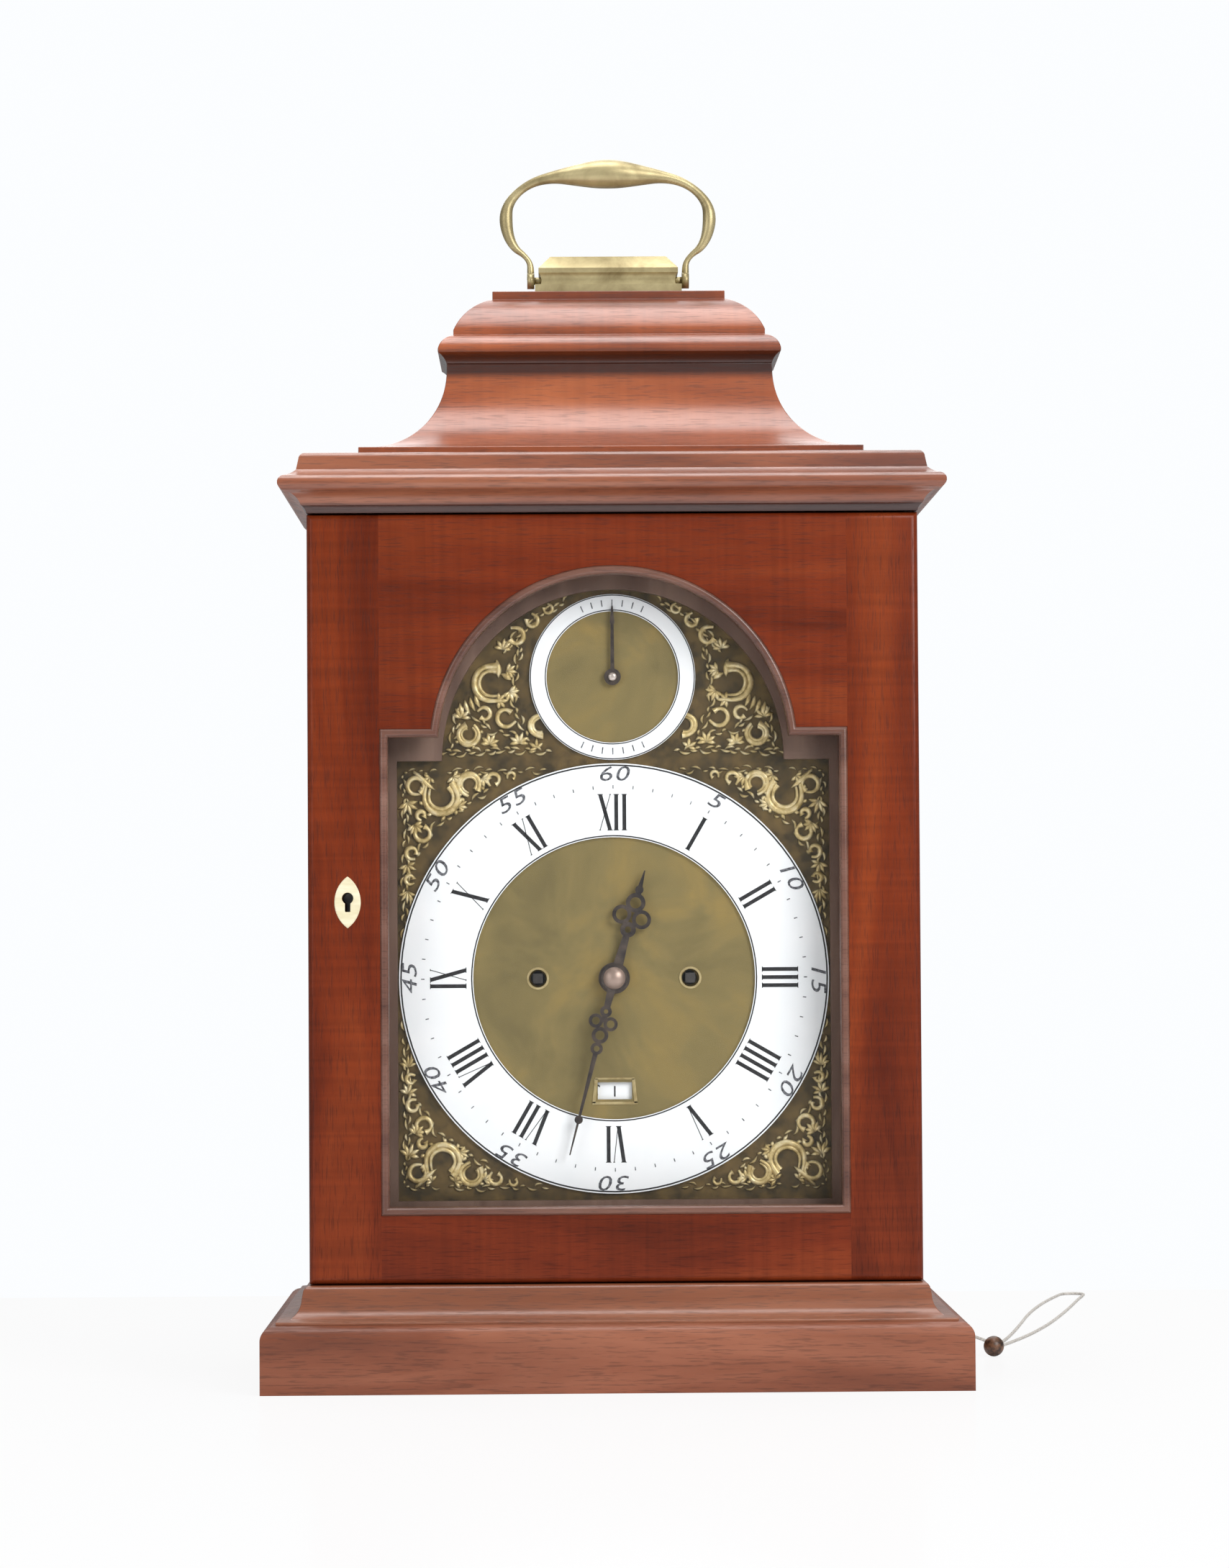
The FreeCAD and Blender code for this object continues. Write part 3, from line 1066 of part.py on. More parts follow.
def date_ring():
    """The ring behind the dial: 62 inner teeth, moved two a day."""
    inner, outer = D.date_in.number, D.date_out.number
    y = dial_back.number + D.gap.number
    teeth = int(D.date_teeth.number)
    step = 2 * math.pi / teeth
    points = []
    for count in range(teeth):
        for radius, share in ((inner + 1.4, 0), (inner, 0.42), (inner, 0.58)):
            angle = (count + share) * step
            points.append(V(radius * math.cos(angle), y, c_at[1] + radius * math.sin(angle)))
    rim = Part.makeCylinder(outer, D.date_t.number, V(0, y, c_at[1]), V(0, 1, 0))
    hole = Part.Face(Part.makePolygon(points + points[:1])).extrude(V(0, D.date_t.number, 0))
    return rim.cut(hole)


node("date_ring", computed("date_piece", date_ring()))

# Striking train: pin wheel with lifting pins, gathering wheel and the fly that steadies it.
p_at, g_at, f_at = xz(pin_at), xz(gather_at), xz(fly_at)
pin_teeth = int(D.pin_teeth.number)
pin_circle = D.pin_m.number * pin_teeth / 2 - 2.6
lifting_pins = []
for count in range(8):
    angle = 2 * math.pi * (count + 0.5) / 8
    spot = (p_at[0] + pin_circle * math.cos(angle), p_at[1] + pin_circle * math.sin(angle))
    lifting_pins.append(shaft(spot, 0.6, (pin_y + wheel_t - 0.5, pin_y + wheel_t + 4)))
node("pin_wheel", computed("pin_piece", fused(
    arbor(p_at, arbor_r), pinion(p_at, great_y - 1, great_t + 2, int(D.great_leaves.number),
                        D.great_m.number, xz(striking_at)),
    wheel(p_at, pin_y, wheel_t, pin_teeth, D.pin_m.number, g_at, spokes=0), *lifting_pins)))
node("gathering_wheel", computed("gathering_piece", fused(
    arbor(g_at, slim(D.gather_leaves, D.pin_m)),
    pinion(g_at, pin_y - 1, wheel_t + 2, int(D.gather_leaves.number), D.pin_m.number, p_at),
    wheel(g_at, gather_y, wheel_t, int(D.gather_teeth.number), D.gather_m.number, f_at))))
fly_half = D.gather_m.number * (D.gather_teeth + D.fly_leaves).number / 2 - arbor_r - 2.4
vane_y = pin_y + wheel_t + 5
vane = Part.makeBox(2 * fly_half, 22, 0.8, V(f_at[0] - fly_half, vane_y, f_at[1] - 0.4))
node("fly", computed("fly_piece", fused(
    arbor(f_at, slim(D.fly_leaves, D.gather_m)), vane,
    pinion(f_at, gather_y - 1, wheel_t + 2, int(D.fly_leaves.number), D.gather_m.number,
           g_at))))

# ---- Hands -----------------------------------------------------------------------------------


def hand(at, y, thick, length, turn, bore, hub, knots, shank, tip):
    """A pierced hand made upright and turned clockwise to its place.

    knots are (way along, way off, outer radius, hole radius); shank and tip are bars of
    (from, to, width there, width here)."""
    solid = Part.makeCylinder(hub, thick, V(0, y, 0), V(0, 1, 0))
    bars = []
    for start, stop, wide, narrow in (shank, tip):
        corners = [V(-wide / 2, y, start), V(wide / 2, y, start), V(narrow / 2, y, stop),
                   V(-narrow / 2, y, stop)]
        bars.append(Part.Face(Part.makePolygon(corners + corners[:1])).extrude(V(0, thick, 0)))
    discs = [Part.makeCylinder(size, thick, V(off, y, along), V(0, 1, 0))
             for along, off, size, _ in knots]
    solid = solid.fuse(bars + discs)
    for along, off, _, hole in knots:
        if hole:
            solid = solid.cut(Part.makeCylinder(hole, thick, V(off, y, along), V(0, 1, 0)))
    solid = solid.cut(Part.makeCylinder(bore, thick, V(0, y, 0), V(0, 1, 0)))
    solid.rotate(V(), V(0, 1, 0), turn)
    solid.translate(V(at[0], 0, at[1]))
    return solid.removeSplitter()


hour_len, minute_len = numbers(hours_in - D.hour_len, D.ring_r - D.minute_len)
hand_t = D.hand_t.number
node("hour_hand", computed("hour_steel", hand(
    c_at, (dial_front - D.hour_y - D.hand_t).number, hand_t, hour_len, D.hour_turn.number, D.pipe_r.number,
    6.4, [(20.6, 0, 3.2, 1.3), (26, -4.2, 3.9, 2.4), (26, 4.2, 3.9, 2.4), (32, 0, 4, 2.3),
          (37.6, 0, 1.7, 0)], (5, 20, 4.2, 2.4), (35, hour_len, 2.6, 0.5))))
minute_steel = hand(
    c_at, hand_end, hand_t, minute_len, D.minute_turn.number, D.cannon_r.number, 5.4,
    [(14, 0, 2.4, 0.9), (18.6, -3.1, 2.9, 1.6), (18.6, 3.1, 2.9, 1.6), (24, 0, 3.4, 1.9),
     (29.6, 0, 2.5, 1.2), (59.5, 0, 1.7, 0)], (5, 18.6, 3.4, 1.8), (31, minute_len, 2, 0.5))
collet_r, collet_t = numbers(D.collet_r, D.collet_t)
dome_r = (collet_r ** 2 + collet_t ** 2) / (2 * collet_t)
dome = Part.makeSphere(dome_r, V(c_at[0], hand_end - collet_t + dome_r, c_at[1]))
dome = dome.common(shaft(c_at, collet_r, (hand_end - collet_t - 1, hand_end)))
node("minute_hand", computed("minute_steel", Part.makeCompound([minute_steel, dome])))

# Strike/silent hand, with its arbor through the dial and a lever behind it.
s_at = (0, strike_z.number)
strike_y = dial_front.number - D.strike_t.number - 1.5
strike_len = (strike_out - D.strike_len).number
strike_steel = hand(s_at, strike_y, 0.8, strike_len, 0, 0.2, 3.4, [(0, 0, 3.4, 0)],
                    (2, strike_len - 4, 1.6, 1.2), (strike_len - 7, strike_len, 2, 0.6))
lever_back = Part.makeBox(4, 1.2, 16, V(-2, dial_back.number + 0.4, s_at[1] - 15))
node("strike_hand", computed("strike_steel", fused(
    strike_steel, shaft(s_at, arbor_r, (strike_y - 0.8, dial_back.number + 1.6)), lever_back)))

# ---- Escapement, pendulum, bell and hammer ---------------------------------------------------
a_at = xz(pallet_at)
cock_y = (back_face, back_face + D.plate_t)
swing_at = back_face + D.pendulum_y
rear_y = (swing_at + 4, swing_at + 4 + D.plate_t)
swing_y = swing_at.number


def pallets():
    """An anchor that stands clear of the escape wheel's tips, on the long arbor that swings."""
    at = a_at
    stand = D.escape_r.number + D.pallet_gap.number
    drop = at[1] - escape_at[1].number
    lean = math.asin((stand + 1.1) / drop)
    reach = drop * math.cos(lean) + 2
    shape = shaft(at, 3, (escape_y - 1, escape_y + wheel_t + 1))
    for side in (-1, 1):
        arm = Part.makeBox(2.2, wheel_t + 2, reach, V(-1.1, escape_y - 1, -reach))
        arm.rotate(V(), V(0, 1, 0), side * math.degrees(lean))
        arm.translate(V(at[0], 0, at[1]))
        shape = shape.fuse(arm)
    return fused(shape, shaft(at, arbor_r, (y_front + end_gap, rear_y[0].number - end_gap)),
                 shaft(at, pivot_r, (y_out + 0.4, rear_y[1].number - 0.4)))


node("pallets", computed("pallet_piece", pallets()))


def pendulum():
    """The rod and its lens-shaped bob, on a boss that is fixed to the pallet arbor."""
    at = a_at
    rod_r, bob_r, half = D.rod_r.number, D.bob_r.number, D.bob_t.number / 2
    bob_z = at[1] - D.bob_drop.number
    stem = Part.makeCylinder(rod_r, at[1] - 2 - bob_z, V(at[0], swing_y, bob_z))
    nut = Part.makeCylinder(rod_r * 2, 3, V(at[0], swing_y, bob_z - bob_r - 4))
    screw = Part.makeCylinder(rod_r * 0.6, bob_r + 6, V(at[0], swing_y, bob_z - bob_r - 6))
    lens = Part.Wire([Part.Arc(V(0, -half, 0), V(bob_r * 0.6, -half * 0.62, 0),
                               V(bob_r, -0.5, 0)).toShape(),
                      Part.makeLine(V(bob_r, -0.5, 0), V(bob_r, 0.5, 0)),
                      Part.Arc(V(bob_r, 0.5, 0), V(bob_r * 0.6, half * 0.62, 0),
                               V(0, half, 0)).toShape(),
                      Part.makeLine(V(0, half, 0), V(0, -half, 0))])
    bob = Part.Face(lens).revolve(V(), V(0, 1, 0), 360)
    bob.translate(V(at[0], swing_y, bob_z))
    piece = fused(shaft(at, 3.2, (swing_y - 2.5, swing_y + 2.5)), stem, nut, screw, bob)
    return piece.cut(shaft(at, arbor_r, (swing_y - 3, swing_y + 3)))


node("pendulum", computed("pendulum_piece", pendulum()))
cock_low, cock_top = pallet_at[1] - 7, pallet_at[1] + 12
cock_half = dim(9)
node("pendulum_cock", carved(
    "cock", joined("cock_blank", block("cock_base", (-cock_half, cock_half), cock_y,
                                       (cock_low, cock_top)),
                   block("cock_arm", (-cock_half, cock_half), (back_face, rear_y[1]),
                         (cock_top - 4, cock_top)),
                   block("cock_rear", (-cock_half, cock_half), rear_y, (cock_low, cock_top))),
    rod("cock_window", "Y", pallet_at, D.rod_r * 2, (back_face - 1, back_face + D.plate_t + 1)),
    rod("cock_bearing", "Y", pallet_at, small, (rear_y[0] - 1, rear_y[1] + 1))))

# Bell on a post from the back plate, with a nut above it.
bell_top = bell_low + D.bell_h
bell_at = (D.bell_x, back_face + D.bell_y)
bell_out = D.bell_r * 0.86
node("bell", turned("bell_cup", "Z", bell_at,
                    [(D.post_r, bell_top - D.bell_t), (D.bell_r - D.bell_t, bell_low, -(bell_out - D.bell_t)),
                     (D.bell_r, bell_low), (D.post_r, bell_top, bell_out)]))
node("bell_stand", joined(
    "stand", block("stand_foot", (D.bell_x - 5, D.bell_x + 5), (back_face, back_face + 6),
                   (plates_z[1] - 22, plates_z[1] - 4)),
    rod("stand_post", "Z", bell_at, D.post_r, (plates_z[1] - 10, bell_top + 3.3)),
    rod("stand_nut", "Z", bell_at, D.post_r * 2, (bell_top + D.gap, bell_top + 3.3)),
    rod("stand_collar", "Z", bell_at, D.post_r * 1.8,
        (bell_top - D.bell_t - 3, bell_top - D.bell_t - D.gap))))


def hammer():
    """The hammer: its arbor, the tail over the pin wheel, and the arm with the head."""
    at = xz(hammer_at)
    head_r, y = D.hammer_r.number, bell_at[1].number
    strike_x = D.bell_x.number - D.bell_r.number - D.hammer_gap.number
    head_z = bell_low.number + 4
    arm = Part.makeBox(3, 3, head_z - at[1], V(at[0] - 1.5, y - 1.5, at[1]))
    head = Part.makeCylinder(head_r, strike_x - at[0] + 3, V(at[0] - 3, y, head_z), V(1, 0, 0))
    tail_long = math.hypot(p_at[0] - at[0], p_at[1] - at[1]) - pin_circle - 1.6
    tail = Part.makeBox(tail_long, 3, 2, V(at[0], pin_y + wheel_t + 0.6, at[1] - 1))
    tail.rotate(V(at[0], 0, at[1]), V(0, 1, 0),
                -math.degrees(math.atan2(p_at[1] - at[1], p_at[0] - at[0])))
    boss = shaft(at, 3, (y - 1.5, y + 1.5))
    return fused(shaft(at, arbor_r, (y_front + end_gap, y + 1.5)),
                 shaft(at, pivot_r, (y_out + 0.4, y_front + 1)), tail, arm, head, boss)


node("hammer", computed("hammer_piece", hammer()))

# Repeat lever on its stud behind the dial: the pull cord works its lower end.
lever_y = (plate_front - 2.2, plate_front - 0.4)
lever_end = lever_at[1] - D.lever_l
node("repeat_lever", carved(
    "lever", joined("lever_blank", block("lever_bar", (D.lever_x - 2.5, D.lever_x + 2.5), lever_y,
                                         (lever_end, lever_at[1])),
                    rod("lever_eye", "Y", lever_at, 4.5, lever_y),
                    block("lever_tail", (D.lever_x - 2.5, D.lever_x + 14), lever_y,
                          (lever_end, lever_end + 4))),
    rod("lever_bore", "Y", lever_at, stud_r * 1.5 + D.run_gap, (plate_front - 4, plate_front + 1)),
    rod("cord_eye", "Y", (D.lever_x + 11, lever_end + 2), 1, (plate_front - 4, plate_front + 1))))

# ---- Pull-repeat cord and its bead -----------------------------------------------------------
# The cord leaves the plinth's right side near the back, runs out over the table behind the
# clock, turns in a narrow bight and comes back to the bead that lies beside the plinth.
lie = D.cord_d.number / 2 + 0.05
face_x = (half_w + D.plinth_p).number
exit_y, exit_z = numbers(D.cord_y, D.cord_z)
bead_x, bead_y_mid, bead_z = 164.3, 46.3, D.bead_r.number + 0.02
flat_y = bead_y_mid + D.bead_r.number - D.bead_flat.number
CORD = [(face_x - 5, exit_y, exit_z), (face_x + 7.5, exit_y, exit_z), (162, 75.5, 5), (169.5, 91, lie),
        (175, 114, lie), (182.5, 153, lie), (191.5, 206, lie), (200.5, 262, lie),
        (211.5, 317, lie), (220, 352, lie), (226.5, 376, lie), (230, 388, lie),
        (236.2, 390, lie), (241, 385.7, lie), (238.9, 373.9, lie), (234.3, 352, lie),
        (227, 313, lie), (217.5, 265, lie), (206.5, 213, lie), (196.5, 172, lie),
        (187.5, 139, lie), (179, 112, lie), (171.5, 90, lie), (166.6, 74, 1.8),
        (bead_x, 62, bead_z), (bead_x, flat_y, bead_z)]


cord_wire, cord_radii = rounded_path([V(*point) for point in CORD])
cord_ring = Part.Wire(Part.makeCircle(D.cord_d.number / 2, V(*CORD[0]), V(1, 0, 0)))
cord_tube = cord_wire.makePipeShell([cord_ring], True, False)
print("cord radii", [round(radius, 1) for radius in cord_radii])
section = math.pi * (D.cord_d.number / 2) ** 2
print("cord length %.1f, volume over section x length %.4f"
      % (cord_wire.Length, cord_tube.Volume / (section * cord_wire.Length)))
node("repeat_cord", computed("cord", cord_tube))
ball = Part.makeSphere(D.bead_r.number, V(bead_x, bead_y_mid, bead_z))
node("repeat_bead", computed("bead_turned", ball.cut(Part.makeBox(
    10, 10, 10, V(bead_x - 5, flat_y, bead_z - 5)))))

# ---- Check and write -------------------------------------------------------------------------
doc.recompute()
for obj in doc.Objects:
    if "Invalid" in obj.State or "Error" in obj.State:
        raise RuntimeError("%s failed: %s" % (obj.Label, obj.State))
for obj in NODES:
    if obj.Shape.isNull() or not obj.Shape.isValid() or not obj.Shape.Solids:
        raise RuntimeError("%s has no valid solid" % obj.Label)
os.makedirs("parts", exist_ok=True)
for obj in NODES:
    obj.Shape.exportStep("parts/%s.step" % obj.Label)
print(len(NODES), "nodes")
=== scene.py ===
import json
import math

import bmesh
import bpy
from mathutils import Matrix, Quaternion, Vector

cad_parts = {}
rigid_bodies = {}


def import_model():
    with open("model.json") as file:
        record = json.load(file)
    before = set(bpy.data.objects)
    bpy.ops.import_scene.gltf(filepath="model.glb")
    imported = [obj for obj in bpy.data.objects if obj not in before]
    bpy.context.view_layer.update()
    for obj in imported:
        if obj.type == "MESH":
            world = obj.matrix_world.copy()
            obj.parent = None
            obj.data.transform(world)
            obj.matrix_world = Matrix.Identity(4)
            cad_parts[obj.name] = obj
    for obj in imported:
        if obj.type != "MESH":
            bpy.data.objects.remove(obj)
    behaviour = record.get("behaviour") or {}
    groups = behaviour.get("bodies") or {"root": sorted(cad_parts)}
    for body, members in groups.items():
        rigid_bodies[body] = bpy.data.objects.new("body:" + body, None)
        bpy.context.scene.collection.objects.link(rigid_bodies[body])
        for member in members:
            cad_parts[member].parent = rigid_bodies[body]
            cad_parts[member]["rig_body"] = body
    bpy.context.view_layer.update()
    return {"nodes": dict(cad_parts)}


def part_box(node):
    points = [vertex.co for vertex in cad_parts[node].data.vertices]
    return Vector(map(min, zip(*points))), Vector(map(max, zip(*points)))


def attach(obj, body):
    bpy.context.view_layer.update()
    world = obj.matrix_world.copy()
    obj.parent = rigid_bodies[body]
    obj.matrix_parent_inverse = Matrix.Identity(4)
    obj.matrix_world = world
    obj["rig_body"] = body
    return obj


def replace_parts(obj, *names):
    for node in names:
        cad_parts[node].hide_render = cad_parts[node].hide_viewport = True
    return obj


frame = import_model()
nodes = frame["nodes"]

# ---- The table, the light and the camera ------------------------------------------------------
# The clock stands on a glossy white table in front of nothing but white, under large soft
# lights, the stronger one at the right. The camera is two metres off, near the dial's height.

camera_data = bpy.data.cameras.new("camera")
camera_data.lens = 109.5
camera_data.sensor_width = 36
camera_data.clip_start = 0.05
camera = bpy.data.objects.new("camera", camera_data)
bpy.context.scene.collection.objects.link(camera)
bpy.context.scene.camera = camera
camera_yaw, camera_pitch, camera_roll = 0.0126, 0.0311, -0.0062
looking = Vector((math.sin(camera_yaw) * math.cos(camera_pitch),
                  math.cos(camera_yaw) * math.cos(camera_pitch), math.sin(camera_pitch)))
camera.rotation_mode = "QUATERNION"
camera.rotation_quaternion = looking.to_track_quat("-Z", "Y") @ Quaternion((0, 0, 1), camera_roll)
camera.location = (-0.024, -2.0174, 0.184)
bpy.context.scene.view_settings.view_transform = "Standard"


def soft_light(name, place, aim, size, watts):
    """A square studio softbox, turned to face a point on the clock."""
    lamp = bpy.data.lights.new(name, "AREA")
    lamp.shape = "SQUARE"
    lamp.size = size
    lamp.energy = watts
    box = bpy.data.objects.new(name, lamp)
    bpy.context.scene.collection.objects.link(box)
    box.location = place
    box.rotation_mode = "QUATERNION"
    box.rotation_quaternion = (Vector(aim) - Vector(place)).to_track_quat("-Z", "Y")


soft_light("key_light", (1.2, -1.6, 1.2), (0, 0, 0.25), 1.1, 37)
soft_light("fill_light", (-1.4, -1.5, 0.8), (0, 0, 0.25), 1.2, 10)
soft_light("top_light", (0, -0.15, 1.65), (0, 0, 0.35), 0.9, 15)
soft_light("back_light", (0, 1.0, 1.35), (0, 0, 0.35), 1.4, 12)

world = bpy.data.worlds.new("studio")
bpy.context.scene.world = world
world.use_nodes = True
sky = world.node_tree
sky_rays = sky.nodes.new("ShaderNodeLightPath")
seen = sky.nodes.new("ShaderNodeMath")
seen.operation = "MAXIMUM"
sky.links.new(sky_rays.outputs["Is Camera Ray"], seen.inputs[0])
sky.links.new(sky_rays.outputs["Is Transmission Ray"], seen.inputs[1])
sky_strength = sky.nodes.new("ShaderNodeMix")
sky_strength.inputs["A"].default_value = 0.32
sky_strength.inputs["B"].default_value = 1.0
sky.links.new(seen.outputs[0], sky_strength.inputs["Factor"])
sky.links.new(sky_strength.outputs["Result"], sky.nodes["Background"].inputs["Strength"])
sky.nodes["Background"].inputs["Color"].default_value = (0.97, 0.985, 1, 1)


def shade(red, green, blue):
    """A colour read as a screen shows it, 0 to 255, turned into the light it stands for."""
    parts = []
    for value in (red, green, blue):
        value /= 255
        parts.append(value / 12.92 if value <= 0.04045 else ((value + 0.055) / 1.055) ** 2.4)
    return (*parts, 1)


class Finish:
    """One surface finish: a Principled shader and the few nodes that vary it."""

    def __init__(self, name, colour=(200, 200, 200), rough=0.5, metal=0.0):
        self.material = bpy.data.materials.new(name)
        self.material.use_nodes = True
        self.tree = self.material.node_tree
        self.shader = self.tree.nodes["Principled BSDF"]
        self.set("Base Color", shade(*colour))
        self.set("Roughness", rough)
        self.set("Metallic", metal)
        self.coordinates = self.tree.nodes.new("ShaderNodeTexCoord").outputs["Object"]

    def set(self, socket, value):
        self.shader.inputs[socket].default_value = value

    def node(self, kind, **values):
        made = self.tree.nodes.new("ShaderNode" + kind)
        for name, value in values.items():
            setattr(made, name, value)
        return made

    def link(self, source, target):
        self.tree.links.new(source, target)

    def noise(self, stretch, detail=4.0, rough=0.55, swirl=0.0, at=(0, 0, 0)):
        """Noise on the clock's own coordinates: stretch is cells to a metre along X, Y and Z."""
        spread = self.node("Mapping")
        spread.inputs["Scale"].default_value = stretch
        spread.inputs["Location"].default_value = at
        self.link(self.coordinates, spread.inputs["Vector"])
        cloud = self.node("TexNoise")
        cloud.inputs["Scale"].default_value = 1
        cloud.inputs["Detail"].default_value = detail
        cloud.inputs["Roughness"].default_value = rough
        cloud.inputs["Distortion"].default_value = swirl
        self.link(spread.outputs["Vector"], cloud.inputs["Vector"])
        return cloud.outputs["Fac"]

    def ramp(self, source, *stops):
        """Colours or plain numbers spread over a 0 to 1 source, as (place, colour) pairs."""
        ramp = self.node("ValToRGB")
        band = ramp.color_ramp
        while len(band.elements) < len(stops):
            band.elements.new(0.5)
        for element, (place, colour) in zip(band.elements, stops):
            element.position = place
            element.color = shade(*colour) if isinstance(colour, tuple) else (colour,) * 3 + (1,)
        self.link(source, ramp.inputs["Fac"])
        return ramp.outputs["Color"]

    def mixed(self, how, amount, one, other):
        mix = self.node("Mix", data_type="RGBA", blend_type=how)
        for socket, value in (("Factor", amount), ("A", one), ("B", other)):
            target = [s for s in mix.inputs if s.name == socket and s.enabled][0]
            if isinstance(value, (float, int)):
                target.default_value = value
            elif isinstance(value, tuple):
                target.default_value = shade(*value)
            else:
                self.link(value, target)
        return [s for s in mix.outputs if s.enabled][0]

    def bump(self, height, depth, strength=1.0):
        bump = self.node("Bump")
        bump.inputs["Distance"].default_value = depth
        bump.inputs["Strength"].default_value = strength
        self.link(height, bump.inputs["Height"])
        self.link(bump.outputs["Normal"], self.shader.inputs["Normal"])

    def colour(self, source):
        self.link(source, self.shader.inputs["Base Color"])

    def rough(self, source):
        self.link(source, self.shader.inputs["Roughness"])


table_left, table_front, table_right, table_back = -2.0, -1.7, 2.0, 0.42
table_mesh = bpy.data.meshes.new("table")
top = bmesh.new()
bmesh.ops.create_grid(top, x_segments=1, y_segments=1, size=1)
bmesh.ops.scale(top, vec=((table_right - table_left) / 2, (table_back - table_front) / 2, 1),
                verts=top.verts)
bmesh.ops.translate(top, vec=((table_right + table_left) / 2, (table_back + table_front) / 2, 0),
                    verts=top.verts)
top.to_mesh(table_mesh)
top.free()
table = bpy.data.objects.new("table", table_mesh)
bpy.context.scene.collection.objects.link(table)
table_top = Finish("table_top", (250, 250, 252), rough=0.16)
table_top.set("Specular IOR Level", 0.35)
lit = table_top.node("Emission")
lit.inputs["Color"].default_value = (1, 1, 1, 1)
table_rays = table_top.node("LightPath")
table_share = table_top.node("Math", operation="MULTIPLY")
table_share.inputs[1].default_value = 0.88
table_top.link(table_rays.outputs["Is Camera Ray"], table_share.inputs[0])
table_mix = table_top.node("MixShader")
table_top.link(table_share.outputs[0], table_mix.inputs["Fac"])
table_top.link(table_top.shader.outputs["BSDF"], table_mix.inputs[1])
table_top.link(lit.outputs["Emission"], table_mix.inputs[2])
table_top.link(table_mix.outputs["Shader"],
               table_top.tree.nodes["Material Output"].inputs["Surface"])
table_mesh.materials.append(table_top.material)

# ---- Plinth, base moulding, sides, cornice and bell top ----------------------------------------
# The case is solid and veneered mahogany, french polished. Each moulding is run along the grain
# and mitred at the corners, so its grain lies along X at the front and along Y at the sides.


def grimed(wood, colour, middle, half):
    """Painted shade: a dark band in a hollow that runs round the case at one height."""
    parts = wood.node("SeparateXYZ")
    wood.link(wood.coordinates, parts.inputs["Vector"])
    offset = wood.node("Math", operation="SUBTRACT")
    wood.link(parts.outputs["Z"], offset.inputs[0])
    offset.inputs[1].default_value = middle
    scaled = wood.node("Math", operation="DIVIDE")
    wood.link(offset.outputs[0], scaled.inputs[0])
    scaled.inputs[1].default_value = half
    away = wood.node("Math", operation="ABSOLUTE")
    wood.link(scaled.outputs[0], away.inputs[0])
    unshaded = wood.ramp(away.outputs[0], (0.5, (112, 108, 124)), (1.0, (255, 255, 255)))
    return wood.mixed("MULTIPLY", 1.0, colour, unshaded)


def mahogany(name, along, dark, mid, light, ripple=0.0, polish=0.35, at=(0, 0, 0), gloss=0.3,
             hollow=None):
    """Mahogany with its grain along one axis: streaks, open pores and cross-grain ripple.

    A hollow is the middle height and the half width of the band darkened as painted shade."""
    wood = Finish(name, mid, rough=0.4)
    run = "XYZ".index(along)
    figure = [34, 34, 34]
    figure[run] = 4
    streaks = wood.noise(figure, 7, 0.6, 0.7, at)
    colour = wood.ramp(streaks, (0.3, dark), (0.5, mid), (0.72, light))
    cloud = wood.noise((9, 9, 9), 3, 0.5, 0.3, at)
    colour = wood.mixed("MULTIPLY", 0.75, colour, wood.ramp(cloud, (0.25, 0.76), (0.7, 1.0)))
    pore_size = [1500, 1500, 1500]
    pore_size[run] = 95
    pores = wood.noise(pore_size, 2, 0.6, 0.0, at)
    pore_dark = wood.ramp(pores, (0.36, 0.45), (0.47, 1.0))
    colour = wood.mixed("MULTIPLY", 0.55, colour, pore_dark)
    if ripple:
        wave_size = [12, 12, 12]
        wave_size[run] = 330
        wave = wood.noise(wave_size, 2, 0.5, 0.4, at)
        colour = wood.mixed("MULTIPLY", ripple, colour, wood.ramp(wave, (0.35, 0.55), (0.65, 1.0)))
    if hollow:
        colour = grimed(wood, colour, *hollow)
    wood.colour(colour)
    wood.rough(wood.ramp(pores, (0.35, 0.62), (0.5, 0.34)))
    wood.bump(pores, 0.00006, 0.6)
    wood.set("Specular IOR Level", gloss)
    wood.set("Coat Weight", polish)
    wood.set("Coat Roughness", 0.26)
    return wood.material


def dressed(node, name, material, edge=0.0):
    """A copy of a CAD node with its triangles merged, its edges eased and its curves smooth."""
    sharp_from = math.radians(28)
    shape = bmesh.new()
    shape.from_mesh(nodes[node].data)
    bmesh.ops.remove_doubles(shape, verts=shape.verts, dist=1e-6)
    bmesh.ops.dissolve_limit(shape, angle_limit=math.radians(0.3), verts=shape.verts,
                             edges=shape.edges)
    for face in shape.faces:
        face.smooth = True
    for line in shape.edges:
        if len(line.link_faces) == 2 and line.calc_face_angle(0) > sharp_from:
            line.smooth = False
    mesh = bpy.data.meshes.new(name)
    shape.to_mesh(mesh)
    shape.free()
    mesh.materials.clear()
    mesh.materials.append(material)
    copy = bpy.data.objects.new(name, mesh)
    bpy.context.scene.collection.objects.link(copy)
    if edge:
        easing = copy.modifiers.new("eased_edges", "BEVEL")
        easing.width = edge
        easing.segments = 2
        easing.limit_method = "ANGLE"
        easing.angle_limit = sharp_from
    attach(copy, nodes[node]["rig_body"])
    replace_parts(copy, node)
    return copy


def painted(node, material):
    """A CAD node that keeps its own mesh and only takes a finish."""
    mesh = nodes[node].data
    mesh.materials.clear()
    mesh.materials.append(material)


